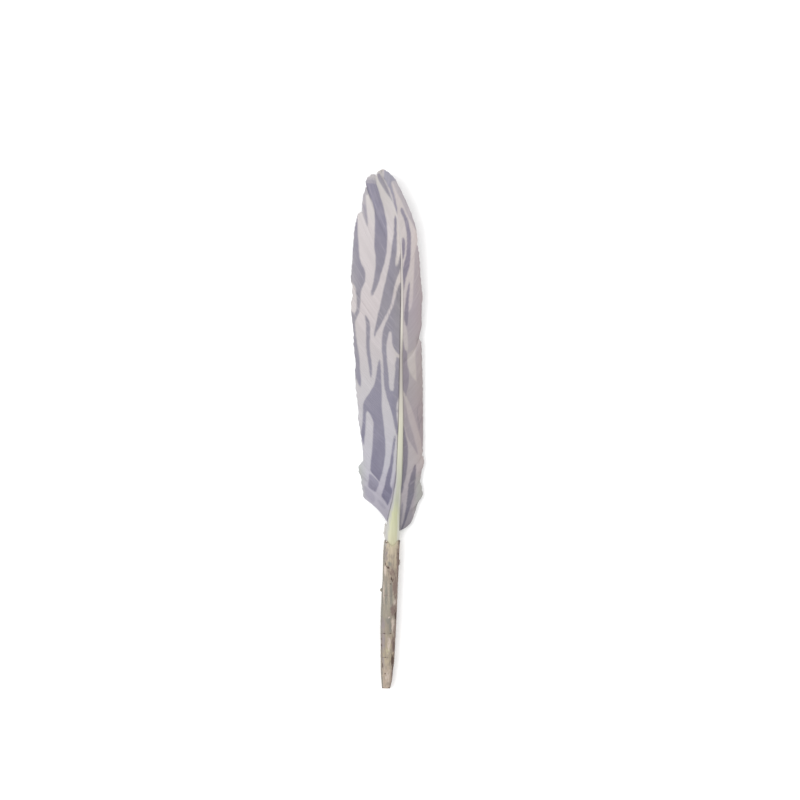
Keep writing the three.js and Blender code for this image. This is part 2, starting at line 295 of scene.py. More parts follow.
LEFT_STRIPES = (
    # Along the outer edge, with a wide swelling and a hook round a bare patch.
    Stripe(Ink.FULL, (
        (66.5, -9.8, -9.1), (64.6, -10.2, -9.2), (61.5, -10.9, -9.1), (55.4, -11.4, -8.8),
        (52.3, -11.8, -8.5),
        (50.7, -12.0, -7.8), (49.2, -12.2, -6.9), (47.3, -12.2, -6.7), (45.5, -11.1, -6.9),
        (44.2, -9.9, -7.4), (43.0, -9.7, -8.1), (39.9, -9.5, -8.3), (37.4, -9.4, -8.4),
        (35.9, -9.9, -8.7), (34.6, -10.9, -9.4), (33.1, -11.4, -10.0), (30.6, -11.4, -9.8),
        (27.5, -11.4, -9.5), (24.4, -11.2, -9.0), (22.0, -11.0, -8.6), (19.5, -11.0, -8.5),
        (17.6, -10.9, -8.4), (15.5, -9.5, -8.1), (13.9, -9.0, -8.1), (13.0, -8.4, -8.2),
    )),
    Stripe(Ink.FULL, ((36.3, -11.4, -10.7), (35.6, -11.4, -10.3), (34.3, -11.4, -9.7))),
    # From the notch near the tip.
    Stripe(Ink.THIN, (
        (75.1, -8.0, -6.5), (73.3, -8.6, -6.5), (70.8, -8.8, -6.6), (69.0, -8.8, -6.4),
        (67.1, -7.8, -6.3), (65.3, -7.3, -6.0), (63.7, -6.7, -5.9), (62.4, -6.3, -6.1),
    )),
    Stripe(Ink.WORN, (
        (69.6, -7.8, -6.7), (67.1, -7.3, -6.3), (65.3, -6.9, -6.1), (63.3, -6.4, -6.0),
    )),
    # The broad stripe of the upper half.
    Stripe(Ink.FULL, (
        (75.9, -7.1, -3.3), (75.1, -6.9, -3.1), (73.9, -6.4, -2.7), (72.7, -6.0, -2.3),
        (71.4, -5.3, -2.0), (69.9, -4.5, -1.5), (68.0, -4.0, -1.0), (65.9, -3.9, -0.6),
        (63.4, -3.8, -0.1), (60.3, -3.8, 0.0), (57.5, -4.0, 0.0), (55.4, -4.0, -0.1),
        (53.5, -3.6, -0.4), (51.0, -3.6, -0.9), (48.9, -3.7, -1.6), (46.4, -4.1, -2.3),
        (43.9, -4.6, -3.2), (42.1, -5.1, -4.0), (40.8, -5.1, -4.9),
    )),
    Stripe(Ink.FAINT, ((79.2, -7.5, -3.7), (77.8, -7.5, -3.6), (76.4, -7.5, -3.4))),
    Stripe(Ink.THIN, ((77.7, -7.3, -3.6), (76.9, -7.3, -3.4), (75.2, -7.0, -3.2))),
    Stripe(Ink.WORN, ((77.0, -7.1, -3.5), (76.0, -7.3, -3.3), (74.8, -6.9, -3.1))),
    Stripe(Ink.THIN, ((75.6, -7.3, -5.8), (74.4, -7.7, -5.2), (73.2, -7.8, -5.3), (72.1, -6.6, -5.8))),
    # The two streaks that run together at the tip.
    Stripe(Ink.WORN, (
        (78.8, -3.0, -2.4), (78.0, -3.1, -1.9), (76.7, -2.6, -1.0), (74.8, -1.6, 0.0),
        (73.1, -0.4, 0.8), (71.3, 0.8, 1.6), (69.6, 1.9, 2.3), (68.0, 2.4, 2.6),
    )),
    Stripe(Ink.FULL, (
        (79.6, -0.8, 1.2), (78.2, -0.9, 2.4), (77.2, -0.85, 2.7), (76.0, -0.35, 1.2),
        (74.8, 0.3, 1.5), (73.1, 1.1, 1.95), (71.3, 1.8, 2.4), (69.6, 2.0, 2.75),
        (68.2, 2.45, 3.05), (66.2, 3.05, 3.25),
    )),
    # The long blade beside the shaft and its branch.
    Stripe(Ink.FULL, (
        (65.8, 2.4, 2.6), (64.6, 2.1, 2.9), (62.2, 2.1, 3.0), (59.7, 2.0, 3.0),
        (57.2, 1.6, 3.0), (54.7, 1.2, 2.9), (52.3, 0.9, 2.6), (50.4, 0.6, 2.5),
        (49.2, 0.3, 3.5), (47.6, -0.1, 3.4), (46.1, -0.4, 2.8), (44.5, -0.8, 2.4),
        (42.7, -1.2, 2.0), (40.5, -1.7, 1.6), (38.0, -2.2, 1.0), (35.9, -2.8, 0.0),
        (33.7, -3.2, -1.2), (31.6, -3.7, -2.3), (29.7, -4.1, -3.4), (28.4, -4.1, -3.9),
    )),
    Stripe(Ink.FULL, (
        (54.2, 4.1, 4.4), (52.6, 3.8, 4.4), (51.0, 3.3, 4.3), (49.8, 2.7, 4.2),
        (48.6, 2.1, 3.8), (47.3, 1.8, 3.3),
    )),
    # Beside the shaft, forking round a bare leaf.
    Stripe(Ink.FULL, (
        (45.3, 4.0, 4.6), (43.9, 3.4, 4.6), (42.4, 2.9, 4.6), (40.5, 2.5, 4.6), (38.4, 2.0, 4.6),
        (36.2, 1.0, 4.6), (34.3, 0.2, 4.6), (32.5, -0.6, 4.6), (30.9, -1.1, 4.5), (30.0, -1.3, 1.5),
    )),
    Stripe(Ink.FULL, (
        (31.9, -0.9, 1.5), (30.6, -1.2, 0.9), (29.4, -1.5, 0.4), (27.5, -1.7, 0.0),
        (25.4, -1.7, -0.3), (22.9, -1.5, -0.2), (20.7, -1.3, 0.0), (18.3, -1.2, 0.3),
        (15.8, -1.1, 0.5), (13.6, -1.0, 0.5), (12.1, -0.7, 0.9), (10.8, -0.4, 1.5),
    )),
    Stripe(Ink.FULL, (
        (32.5, 0.2, 4.5), (30.6, 1.3, 4.5), (29.1, 1.4, 4.5), (27.2, 1.5, 4.5),
        (25.7, 1.7, 4.5), (24.4, 2.3, 4.5), (23.5, 3.0, 4.5), (22.8, 3.6, 4.2),
    )),
    Stripe(Ink.FULL, (
        (22.3, 3.0, 3.3), (21.7, 2.7, 4.2), (20.1, 2.5, 4.2), (16.7, 2.4, 4.2),
        (15.2, 2.1, 4.2), (12.1, 2.1, 4.2), (10.8, 1.3, 4.2),
    )),
    Stripe(Ink.FULL, (
        (11.8, -0.6, 3.9), (10.5, -0.3, 3.9), (9.0, 0.1, 3.4), (8.1, 0.5, 2.9),
        (5.9, 1.2, 2.8), (4.3, 1.6, 2.8), (2.8, 1.9, 3.1), (0.9, 2.2, 3.4),
        (-0.6, 2.7, 3.5), (-1.8, 3.0, 3.3),
    )),
    # The narrow one in the middle of the vane.
    Stripe(Ink.FULL, (
        (35.2, -6.9, -6.6), (34.3, -6.9, -6.0), (33.4, -6.7, -5.5), (32.2, -6.5, -5.3),
        (29.7, -6.5, -5.3), (26.9, -6.6, -5.4), (24.4, -6.5, -5.3), (22.3, -6.1, -5.1),
        (20.1, -5.8, -4.8), (18.3, -5.5, -4.7), (16.9, -5.4, -4.8), (15.9, -5.2, -5.0),
    )),
    # The broad stripe of the lower half, which hooks round a bare tongue.
    Stripe(Ink.FULL, (
        (21.4, -2.6, -2.2), (20.1, -2.9, -2.0), (18.3, -3.2, -1.9), (16.1, -3.5, -1.9),
        (13.9, -3.9, -1.8), (12.4, -4.7, -1.7), (11.1, -5.5, -1.7), (9.9, -6.4, -1.7),
        (8.7, -7.1, -1.7), (7.4, -7.5, -1.7), (5.4, -7.5, -1.6),
    )),
    Stripe(Ink.FULL, (
        (6.8, -7.5, -6.0), (4.7, -7.5, -6.6), (2.8, -7.6, -6.6), (0.6, -7.8, -6.7),
        (-1.2, -8.2, -6.9), (-2.8, -8.0, -7.0), (-4.0, -7.6, -7.1), (-4.9, -7.3, -7.2),
    )),
    Stripe(Ink.FULL, (
        (6.8, -6.6, -1.6), (5.3, -5.7, -1.6), (4.0, -5.0, -1.4), (2.8, -4.4, -1.3),
        (0.9, -4.2, -1.0), (-1.5, -4.4, -0.8), (-3.7, -4.5, -0.6), (-6.2, -4.7, -0.6),
        (-8.3, -4.8, -0.6), (-10.2, -5.1, -0.9), (-11.7, -5.2, -1.2), (-12.7, -5.25, -1.4),
        (-13.6, -4.8, -1.6), (-14.6, -3.9, -1.85), (-15.6, -3.0, -2.15), (-16.5, -2.5, -2.4),
    )),
    Stripe(Ink.WORN, (
        (-13.9, -5.6, -5.2), (-14.6, -5.6, -4.4), (-15.4, -5.7, -3.5), (-16.2, -5.8, -2.6),
        (-17.0, -5.9, -2.6), (-17.9, -5.9, -2.9), (-18.6, -5.0, -3.2), (-19.4, -3.9, -3.5),
    )),
    # Faded dye over the lower corner.
    Stripe(Ink.FAINT, (
        (-17.6, -7.3, -6.8), (-18.9, -7.1, -5.3), (-20.3, -6.7, -4.1), (-21.6, -5.9, -3.7),
        (-22.8, -4.8, -3.9),
    )),
    Stripe(Ink.FAINT, ((-21.8, -3.0, -2.6), (-22.8, -2.6, -1.5), (-23.8, -1.9, -0.7), (-24.7, -1.0, -0.2))),
    # A speck of dye.
    Stripe(Ink.FULL, ((5.9, 2.85, 3.25), (5.55, 2.65, 3.45), (5.2, 2.85, 3.25))),
    # At the foot of the vane, beside the shaft.
    Stripe(Ink.FULL, (
        (-1.9, 2.3, 2.5), (-2.8, 2.0, 2.6), (-4.3, 1.7, 2.5), (-6.2, 1.5, 2.2),
        (-8.3, 1.2, 1.9), (-10.2, 0.9, 1.9), (-11.7, 0.6, 1.7), (-13.3, 0.1, 1.5),
        (-14.8, -0.3, 1.2), (-16.4, -0.6, 0.9), (-17.6, -0.9, 0.9), (-18.8, -1.2, 1.8),
        (-20.1, -1.7, 1.4), (-20.8, -1.8, 1.2), (-21.7, -1.1, 0.9), (-22.7, -0.3, 0.5), (-23.5, 0.0, 0.2),
    )),
    Stripe(Ink.THIN, (
        (-13.0, 2.4, 2.7), (-14.2, 2.3, 2.9), (-15.8, 2.1, 2.9), (-17.3, 1.7, 2.7),
        (-18.5, 1.3, 2.2), (-19.6, 1.0, 1.8),
    )),
)

RIGHT_STRIPES = (
    # Over the tip and down the outer edge.
    Stripe(Ink.FULL, ((80.6, -1.0, 1.9), (78.2, -1.0, 2.9), (76.4, -1.1, 3.8))),
    Stripe(Ink.THIN, (
        (77.2, 1.3, 3.7), (75.5, 2.0, 4.6), (73.9, 2.6, 5.2), (72.4, 3.3, 6.1),
        (70.8, 4.1, 6.8), (69.3, 4.8, 7.4), (67.7, 5.4, 8.1), (66.2, 6.2, 8.7),
        (64.6, 7.0, 9.4), (63.1, 7.9, 9.9), (61.0, 8.9, 9.9),
    )),
    # The hook beside the shaft, and the splinter in its bend.
    Stripe(Ink.FULL, (
        (68.3, 4.1, 4.7), (67.4, 4.0, 5.1), (66.5, 4.3, 5.5), (65.3, 4.9, 6.1),
        (63.7, 5.4, 6.6), (62.2, 5.8, 6.9), (60.3, 6.0, 7.3), (57.8, 6.1, 7.3),
        (55.4, 6.0, 7.3), (53.2, 5.7, 7.2), (51.3, 5.3, 7.0), (49.5, 4.7, 6.7),
        (47.6, 4.6, 6.1), (46.1, 4.8, 5.7), (44.5, 5.0, 5.4), (42.9, 5.1, 5.2),
    )),
    Stripe(Ink.FULL, (
        (59.0, 4.6, 5.2), (57.5, 4.5, 5.6), (56.0, 4.4, 5.5), (54.4, 4.4, 5.4), (52.3, 4.5, 5.1),
    )),
    # The worn area along the outer edge.
    Stripe(Ink.THIN, (
        (57.6, 9.3, 10.3), (56.3, 9.0, 10.5), (54.7, 8.7, 10.8), (52.9, 8.5, 10.9),
        (50.7, 8.3, 11.2), (48.6, 8.3, 11.3), (46.7, 8.2, 11.4), (44.5, 8.1, 11.5), (42.0, 8.0, 11.6),
    )),
    Stripe(Ink.THIN, (
        (45.2, 8.1, 11.6), (43.0, 8.0, 11.8), (39.9, 7.9, 11.8), (37.4, 7.5, 11.6),
        (36.2, 6.5, 11.6), (34.3, 6.1, 11.6), (32.8, 5.5, 11.4), (31.2, 6.0, 11.2),
        (29.4, 6.2, 10.8), (28.2, 6.3, 10.0), (26.9, 6.4, 9.4), (25.7, 6.4, 8.9),
        (24.4, 6.3, 7.9), (23.5, 6.0, 6.8), (22.7, 5.9, 6.1),
    )),
    Stripe(Ink.FULL, (
        (45.5, 6.7, 6.9), (43.9, 6.4, 7.0), (42.1, 6.0, 6.8), (39.9, 5.7, 6.7),
        (38.0, 5.5, 6.5), (36.5, 5.3, 6.6), (35.0, 5.2, 6.7), (33.7, 5.1, 6.6),
        (32.8, 5.5, 6.4), (31.7, 5.8, 6.3),
    )),
    Stripe(Ink.THIN, (
        (27.6, 10.0, 11.6), (26.3, 9.4, 11.6), (25.1, 9.0, 11.6), (23.5, 8.7, 11.6),
        (21.3, 8.7, 11.6), (18.9, 8.9, 11.6), (16.4, 9.0, 11.6), (14.5, 9.0, 11.6), (13.0, 8.0, 11.6),
    )),
    Stripe(Ink.FULL, (
        (27.9, 4.6, 4.8), (26.3, 4.4, 5.1), (24.7, 4.4, 5.4), (23.8, 4.4, 6.2),
        (22.6, 4.4, 6.2), (21.0, 4.4, 6.1), (19.5, 4.4, 6.3), (17.9, 4.4, 6.7),
        (16.4, 4.5, 6.9), (15.2, 4.5, 6.8), (13.9, 4.5, 6.6), (12.4, 4.7, 6.4),
        (11.1, 5.3, 6.1), (10.2, 5.7, 6.0),
    )),
    Stripe(Ink.THIN, (
        (18.2, 6.4, 6.7), (16.7, 6.6, 7.4), (15.2, 6.6, 8.4), (14.2, 6.4, 9.6), (13.0, 5.0, 11.6),
        (11.1, 5.3, 11.6),
        (9.9, 6.0, 11.6), (8.4, 6.7, 11.6), (6.8, 7.4, 11.8), (5.3, 7.9, 11.8),
        (3.4, 8.5, 12.0), (1.6, 9.0, 12.0), (-0.3, 9.5, 12.0), (-2.5, 10.3, 12.0),
        (-4.6, 10.5, 12.0), (-6.8, 10.7, 11.8),
    )),
    # The slanting bands below it.
    Stripe(Ink.THIN, (
        (10.2, 4.6, 5.2), (8.7, 4.6, 5.5), (7.1, 4.6, 5.8), (5.3, 4.7, 6.1),
        (3.4, 4.8, 6.5), (1.6, 5.1, 7.0), (-0.3, 5.6, 7.6), (-2.1, 6.1, 8.2),
        (-3.7, 6.8, 8.5), (-5.2, 7.8, 9.0), (-6.5, 8.6, 9.3), (-7.8, 9.2, 9.5),
    )),
    Stripe(Ink.WORN, (
        (8.7, 10.8, 11.8), (7.7, 10.0, 10.9), (6.8, 9.1, 9.7), (5.0, 9.0, 9.5), (3.0, 9.2, 9.9),
        (1.2, 9.5, 10.2), (-0.6, 9.9, 10.2),
    )),
    Stripe(Ink.WORN, ((4.8, 10.8, 11.4), (3.2, 10.2, 10.9), (1.6, 9.9, 10.5))),
    # Beside the foot of the shaft.
    Stripe(Ink.FULL, (
        (0.7, 4.9, 5.2), (-0.9, 4.7, 5.6), (-2.8, 4.8, 5.9), (-4.6, 4.9, 6.3),
        (-6.5, 4.9, 6.4), (-8.3, 4.9, 6.4), (-10.2, 4.8, 6.3), (-12.0, 4.6, 6.1),
        (-13.9, 4.4, 5.9), (-15.8, 4.3, 5.5), (-17.6, 4.2, 5.0), (-19.8, 4.2, 4.7),
    )),
    Stripe(Ink.FULL, (
        (-10.9, 8.4, 8.7), (-12.0, 8.1, 8.9), (-13.4, 7.6, 8.9), (-15.0, 7.0, 8.8),
        (-17.0, 6.6, 8.5), (-18.4, 6.4, 8.5), (-20.1, 6.25, 8.3), (-21.9, 6.1, 7.8),
        (-24.0, 5.9, 7.2), (-25.6, 5.6, 6.7), (-27.5, 5.2, 6.1), (-29.3, 4.8, 5.4),
        (-31.4, 4.0, 4.4),
    )),
    Stripe(Ink.WORN, (
        (-22.7, 4.5, 4.8), (-24.2, 4.3, 4.8), (-25.5, 4.1, 4.7), (-27.0, 4.0, 4.5),
        (-28.6, 3.9, 4.3), (-30.4, 3.9, 4.1),
    )),
    Stripe(Ink.FAINT, (
        (-17.0, 8.2, 9.0), (-19.0, 7.8, 9.0), (-21.0, 7.4, 8.8), (-23.0, 7.0, 8.0), (-25.0, 6.6, 7.8),
        (-27.0, 6.0, 7.8), (-29.0, 5.3, 7.2), (-31.0, 4.4, 6.0),
    )),
)


@dataclass(frozen=True)
class ZebraPrint:
    """The zebra print that was dyed across both vanes and over the thin end of the shaft."""

    stripes: tuple[Stripe, ...] = LEFT_STRIPES + RIGHT_STRIPES
    reach: float = 1.5  # depths are only exact this near to an edge, in millimetres

    def mark(self, mesh: bpy.types.Mesh) -> None:
        """Stores how deep each point lies inside the stripes of each strength.

        Args:
            mesh: The mesh that gets the values.
        """
        points = points_of(mesh)[:, :2]
        for ink in Ink:
            depth = np.full(len(points), -self.reach)
            for stripe in self.stripes:
                if stripe.ink is ink:
                    depth = np.maximum(depth, stripe.depth_at(points, self.reach))
            store(mesh, ink.attribute, depth)


# --- Finishes ------------------------------------------------------------------------------------


@dataclass(frozen=True)
class Finish:
    """What a piece's surface is. Each kind of finish adds its own colour and relief."""

    name: str
    roughness: float  # how far the surface scatters its gloss
    specular: float  # how strong that gloss is

    def build(self) -> bpy.types.Material:
        """Makes the material.

        Returns:
            The dressed material.
        """
        material = bpy.data.materials.new(self.name)
        material.use_nodes = True
        tree = material.node_tree
        tree.nodes.clear()
        inputs = {"Roughness": self.roughness, "Specular IOR Level": self.specular}
        shader = add_node(tree, "ShaderNodeBsdfPrincipled", inputs)
        add_node(tree, "ShaderNodeOutputMaterial", [shader])
        self.dress(tree, shader.node)
        return material

    def dress(self, tree: Tree, shader: bpy.types.Node) -> None:
        """Adds the nodes for colour and relief."""

    def place(self, tree: Tree) -> Any:
        """Gives the place on the piece, in millimetres."""
        coordinates = add_node(tree, "ShaderNodeTexCoord", out="Object")
        return add_node(tree, VECTOR, {"Vector": coordinates, "Scale": 1 / MM}, operation="SCALE")

    def grain(self, tree: Tree, place: Any, size: Sequence[float], detail: float = 3.0) -> Any:
        """Adds seamless grain.

        Args:
            tree: The material's tree.
            place: The place on the piece, in millimetres.
            size: The grain's size across, along and in height, in millimetres.
            detail: How many finer layers it has.

        Returns:
            A socket with the grain, around 0.5.
        """
        scaled = add_node(tree, VECTOR, [place, tuple(1 / s for s in size)], operation="MULTIPLY")
        return add_node(tree, "ShaderNodeTexNoise", {"Vector": scaled, "Scale": 1.0, "Detail": detail})

    def along(self, tree: Tree, y: Any, stops: Stops, share: float = DIMMING) -> Any:
        """Lets a colour change along a line.

        Args:
            tree: The material's tree.
            y: The place along the line, in millimetres.
            stops: Places with their colours, in rising order.
            share: Share of their light that stays.

        Returns:
            A socket with the colour.
        """
        low, high = stops[0][0], stops[-1][0]
        colour = add_node(tree, "ShaderNodeValToRGB", [add_node(tree, RANGE, [y, low, high])])
        elements = colour.node.color_ramp.elements
        while len(elements) < len(stops):
            elements.new(0.5)
        for element, (at, shade) in zip(elements, stops):
            element.position = (at - low) / (high - low)
            element.color = linear(shade, share)
        return colour

    def coat(self, tree: Tree, colour: Any, coats: Sequence[tuple[Any, Any]]) -> Any:
        """Lays coats of colour over each other.

        Args:
            tree: The material's tree.
            colour: The colour underneath.
            coats: How much of each coat there is, and its colour, from the lowest up.

        Returns:
            A socket with the colour on top.
        """
        for share, shade in coats:
            shade = linear(shade, DIMMING) if isinstance(shade, str) else shade
            inputs = {"Factor_Float": share, "A_Color": colour, "B_Color": shade}
            colour = add_node(tree, "ShaderNodeMix", inputs, out="Result_Color", data_type="RGBA")
        return colour

    def join(self, shader: bpy.types.Node, colour: Any, height: Any, strength: float, depth: float) -> None:
        """Gives the shader its colour and relief.

        Args:
            shader: The surface shader.
            colour: A socket with the colour.
            height: A socket with the relief's height, from 0 to 1.
            strength: How strongly the relief shows.
            depth: How deep it is, in millimetres.
        """
        tree = shader.id_data
        relief = {"Strength": strength, "Distance": depth * MM, "Height": height}
        tree.links.new(add_node(tree, "ShaderNodeBump", relief), shader.inputs["Normal"])
        tree.links.new(colour, shader.inputs["Base Color"])


@dataclass(frozen=True)
class PrintedVane(Finish):
    """Feather barbs, bleached and dyed: matt and silky, with soft-edged stripes.

    The dye crept a little along the barbs, so a stripe's edge is uneven, and it hardly reached the
    back. The colours change along the feather, from cool and light at the tip to dull at the foot.
    """

    bare: Stops = ()  # colours of the undyed barbs along the feather
    dyed: Stops = ()  # colours of the full dye along it
    across: Stops = ()  # tints of both across it, with painted shade where they darken beside the shaft
    thins: tuple[float, float, float] = (-8.0, -11.5, 0.8)  # X from and to which dye thins, share left
    aged: str = "#f5fbee"  # tint of the foot of the vane's outer edge, which has greyed
    aged_below: tuple[float, float] = (-8.0, -12.0)  # Y over which that tint sets in
    aged_beyond: tuple[float, float] = (-6.0, -8.5)  # X over which it sets in
    barb_highlight: float = 0.25  # share of the dye taken off single barbs, a painted highlight where their edges catch the light
    edge: float = 0.3  # half the width over which a stripe fades, in millimetres
    creep: float = 0.22  # how far the dye strays from barb to barb, in millimetres
    back: float = 0.4  # share of the dye that shows on the back

    def ink(self, tree: Tree, place: Any, x: Any, single: Any) -> Any:
        """Works out how much dye there is, less on single barbs that carry a painted highlight.

        Args:
            tree: The material's tree.
            place: The place on the piece, in millimetres.
            x: Its X.
            single: A random number for each barb.

        Returns:
            A socket with the share of the full dye.
        """
        add = partial(add_node, tree)
        stray = add(MATH, [self.grain(tree, place, (1.6, 1.6, 1.6)), single], operation="ADD")
        stray = add(MATH, [stray, self.creep, -self.creep], operation="MULTIPLY_ADD")
        ink = None
        for strength in Ink:
            depth = add(MESH_VALUE, out="Fac", attribute_name=strength.attribute)
            depth = add(MATH, [depth, stray], operation="ADD")
            fade = [depth, -self.edge, self.edge, 0.0, strength.value]
            dye = add(RANGE, fade, interpolation_type="SMOOTHSTEP")
            ink = dye if ink is None else add(MATH, [ink, dye], operation="MAXIMUM")
        cloud = self.grain(tree, place, (3.0, 5.0, 3.0))
        uneven = add(RANGE, [cloud, 0.3, 0.7, 0.9, 1.06])
        start, end, left = self.thins
        outer = add(RANGE, [x, start, end, 1.0, left])
        # Painted highlight: here and there a single barb is drawn paler, as if its edge catches the light,
        # by taking dye off it.
        barb_highlight = add(RANGE, [single, 0.92, 0.95, 0.0, self.barb_highlight])
        barb_highlight = add(MATH, [barb_highlight, add(RANGE, [cloud, 0.45, 0.6])], operation="MULTIPLY")
        beside_highlight = add(MATH, [1.0, barb_highlight], operation="SUBTRACT")
        upward = add(SPLIT, [add("ShaderNodeTexCoord", out="Normal")], out="Z")
        through = add(RANGE, [upward, -0.3, 0.1, self.back, 1.0])
        for share in (uneven, outer, beside_highlight, through):
            ink = add(MATH, [ink, share], operation="MULTIPLY", use_clamp=share is through)
        return ink

    def dress(self, tree: Tree, shader: bpy.types.Node) -> None:
        """Adds the stripes and the silky grain.

        Args:
            tree: The material's tree.
            shader: Its surface shader.
        """
        add = partial(add_node, tree)
        place = self.place(tree)
        x, y, _ = add(SPLIT, [place]).node.outputs
        single = add(MESH_VALUE, out="Fac", attribute_name="barb_random")
        ink = self.ink(tree, place, x, single)
        colour = self.coat(tree, self.along(tree, y, self.bare), [(ink, self.along(tree, y, self.dyed))])
        aged = [add(RANGE, [y, *self.aged_below]), add(RANGE, [x, *self.aged_beyond])]
        foot = add(MATH, aged, operation="MULTIPLY")
        aged = self.coat(tree, linear("#ffffff"), [(foot, linear(self.aged))])
        for tint in (self.along(tree, x, self.across, share=1.0), aged):
            colour = add(VECTOR, [colour, tint], operation="MULTIPLY")
        tone = add(RANGE, [single, 0.0, 1.0, 0.96, 1.04])
        colour = add(VECTOR, {"Vector": colour, "Scale": tone}, operation="SCALE")
        shader.inputs["Sheen Weight"].default_value = 0.12
        shader.inputs["Sheen Roughness"].default_value = 0.5
        # Hooked barbules, drawn 0.15 mm apart because the real 0.03 mm can't show.
        barbules = self.grain(tree, place, (0.15, 0.15, 0.15), 1.0)
        self.join(shader, colour, barbules, strength=0.25, depth=0.03)


@dataclass(frozen=True)
class QuillKeratin(Finish):
    """Grown keratin: a smooth, faintly ribbed horn that lets light in, satin to the eye.

    It is greenish yellow where it is thick and greyer towards the tip, with a whitish left and a
    beige right margin beside the foot of the vanes; these side colours also hold painted light and
    shade on the shaft's side slopes. The print covers its thin end.
    """

    centre: Sequence[tuple[float, str]] = ()
    # Colours of the two side slopes: partly the keratin's own margins, partly painted light and shade.
    left_margin_and_shading: str = "#b9b7b8"
    right_margin_and_shading: str = "#cfcec6"
    dyed: str = "#9a98a6"
    printed_from: tuple[float, float] = (61.0, 66.0)
    margin_until: tuple[float, float] = (-17.0, -11.0)

    def dress(self, tree: Tree, shader: bpy.types.Node) -> None:
        """Adds the colour zones with the painted light and shade on the side slopes, the fine ribs and the
        print at the tip.

        Args:
            tree: The material's tree.
            shader: Its surface shader.
        """
        add = partial(add_node, tree)
        place = self.place(tree)
        y = add(SPLIT, [place], out="Y")
        fibres = self.grain(tree, place, (0.35, 9.0, 0.35))
        streak = add(RANGE, [fibres, 0.3, 0.7, -0.25, 0.25])
        across = add(MESH_VALUE, out="Fac", attribute_name="across")
        side = add(MATH, [across, streak], operation="ADD")
        inked = add(MESH_VALUE, out="Fac", attribute_name=Ink.FULL.attribute)
        low = add(RANGE, [y, *self.margin_until, 1.0, 0.0])
        upper = add(RANGE, [y, *self.printed_from])
        coats = []
        # The side slopes get colours of their own, partly real margins and partly painted light and shade.
        for shade, value, start, end, most, zone in (
            (self.left_margin_and_shading, side, -0.3, -0.75, 0.85, low),
            (self.right_margin_and_shading, side, 0.4, 0.85, 0.85, low),
            (self.dyed, inked, -0.3, 0.3, 1.0, upper),
        ):
            share = add(RANGE, [value, start, end, 0.0, most], interpolation_type="SMOOTHSTEP")
            coats.append((add(MATH, [share, zone], operation="MULTIPLY"), shade))
        colour = self.coat(tree, self.along(tree, y, self.centre), coats)
        tone = add(RANGE, [fibres, 0.3, 0.7, 0.94, 1.05])
        colour = add(VECTOR, {"Vector": colour, "Scale": tone}, operation="SCALE")
        self.join(shader, colour, fibres, strength=0.3, depth=0.04)


class Stain(Enum):
    """What marks the sheath, from the lowest layer up. The moss and brown kinds also carry the
    painted shade along its two sides. The value is its colour.
    """

    MOSS = "#87837a"
    MAUVE = "#958a8a"
    HORN = "#c9c79e"
    FILM = "#d3d0cc"
    PALE = "#cabbae"
    BROWN = "#85726a"
    CRACK = "#544039"

    @property
    def attribute(self) -> str:
        """The mesh attribute that holds how strong such marks are at a point."""
        return f"stain_{self.name.lower()}"


@dataclass(frozen=True)
class DriedSheath(Finish):
    """The dried, papery skin round the quill: dull and blotchy, wrinkled along its length."""

    mean: Stops = ()  # mean colours along the quill
    blotch: str = "#93887e"  # darker blotches

    def dress(self, tree: Tree, shader: bpy.types.Node) -> None:
        """Adds the blotches, the stains, the painted shade along the sides and the wrinkles.

        Args:
            tree: The material's tree.
            shader: Its surface shader.
        """
        add = partial(add_node, tree)
        soft = {"interpolation_type": "SMOOTHSTEP"}
        place = self.place(tree)
        blotches = self.grain(tree, place, (0.7, 2.0, 0.7), 4.0)
        coats = [(add(RANGE, [blotches, 0.48, 0.64, 0.0, 0.6], **soft), self.blotch)]
        ragged = add(RANGE, [self.grain(tree, place, (0.3, 0.9, 0.3), 5.0), 0.3, 0.7, -0.35, 0.35])
        for kind in Stain:
            share = add(MESH_VALUE, out="Fac", attribute_name=kind.attribute)
            share = add(MATH, [share, ragged], operation="ADD")
            coats.append((add(RANGE, [share, 0.25, 0.85, 0.0, 0.95], **soft), kind.value))
        mean = self.along(tree, add(SPLIT, [place], out="Y"), self.mean)
        wrinkles = self.grain(tree, place, (0.3, 5.0, 0.3), 4.0)
        tone = add(RANGE, [wrinkles, 0.3, 0.7, 0.84, 1.12])
        inputs = {"Vector": self.coat(tree, mean, coats), "Scale": tone}
        colour = add(VECTOR, inputs, operation="SCALE")
        rings = self.grain(tree, place, (3.0, 0.25, 3.0), 2.0)
        relief = add(MATH, [wrinkles, rings], operation="ADD")
        self.join(shader, colour, relief, strength=0.6, depth=0.06)


@dataclass(frozen=True)
class StudioPaper(Finish):
    """Seamless matt studio paper under the feather."""

    colour: str = "#ffffff"

    def dress(self, tree: Tree, shader: bpy.types.Node) -> None:
        """Sets the paper's colour."""
        shader.inputs["Base Color"].default_value = linear(self.colour)


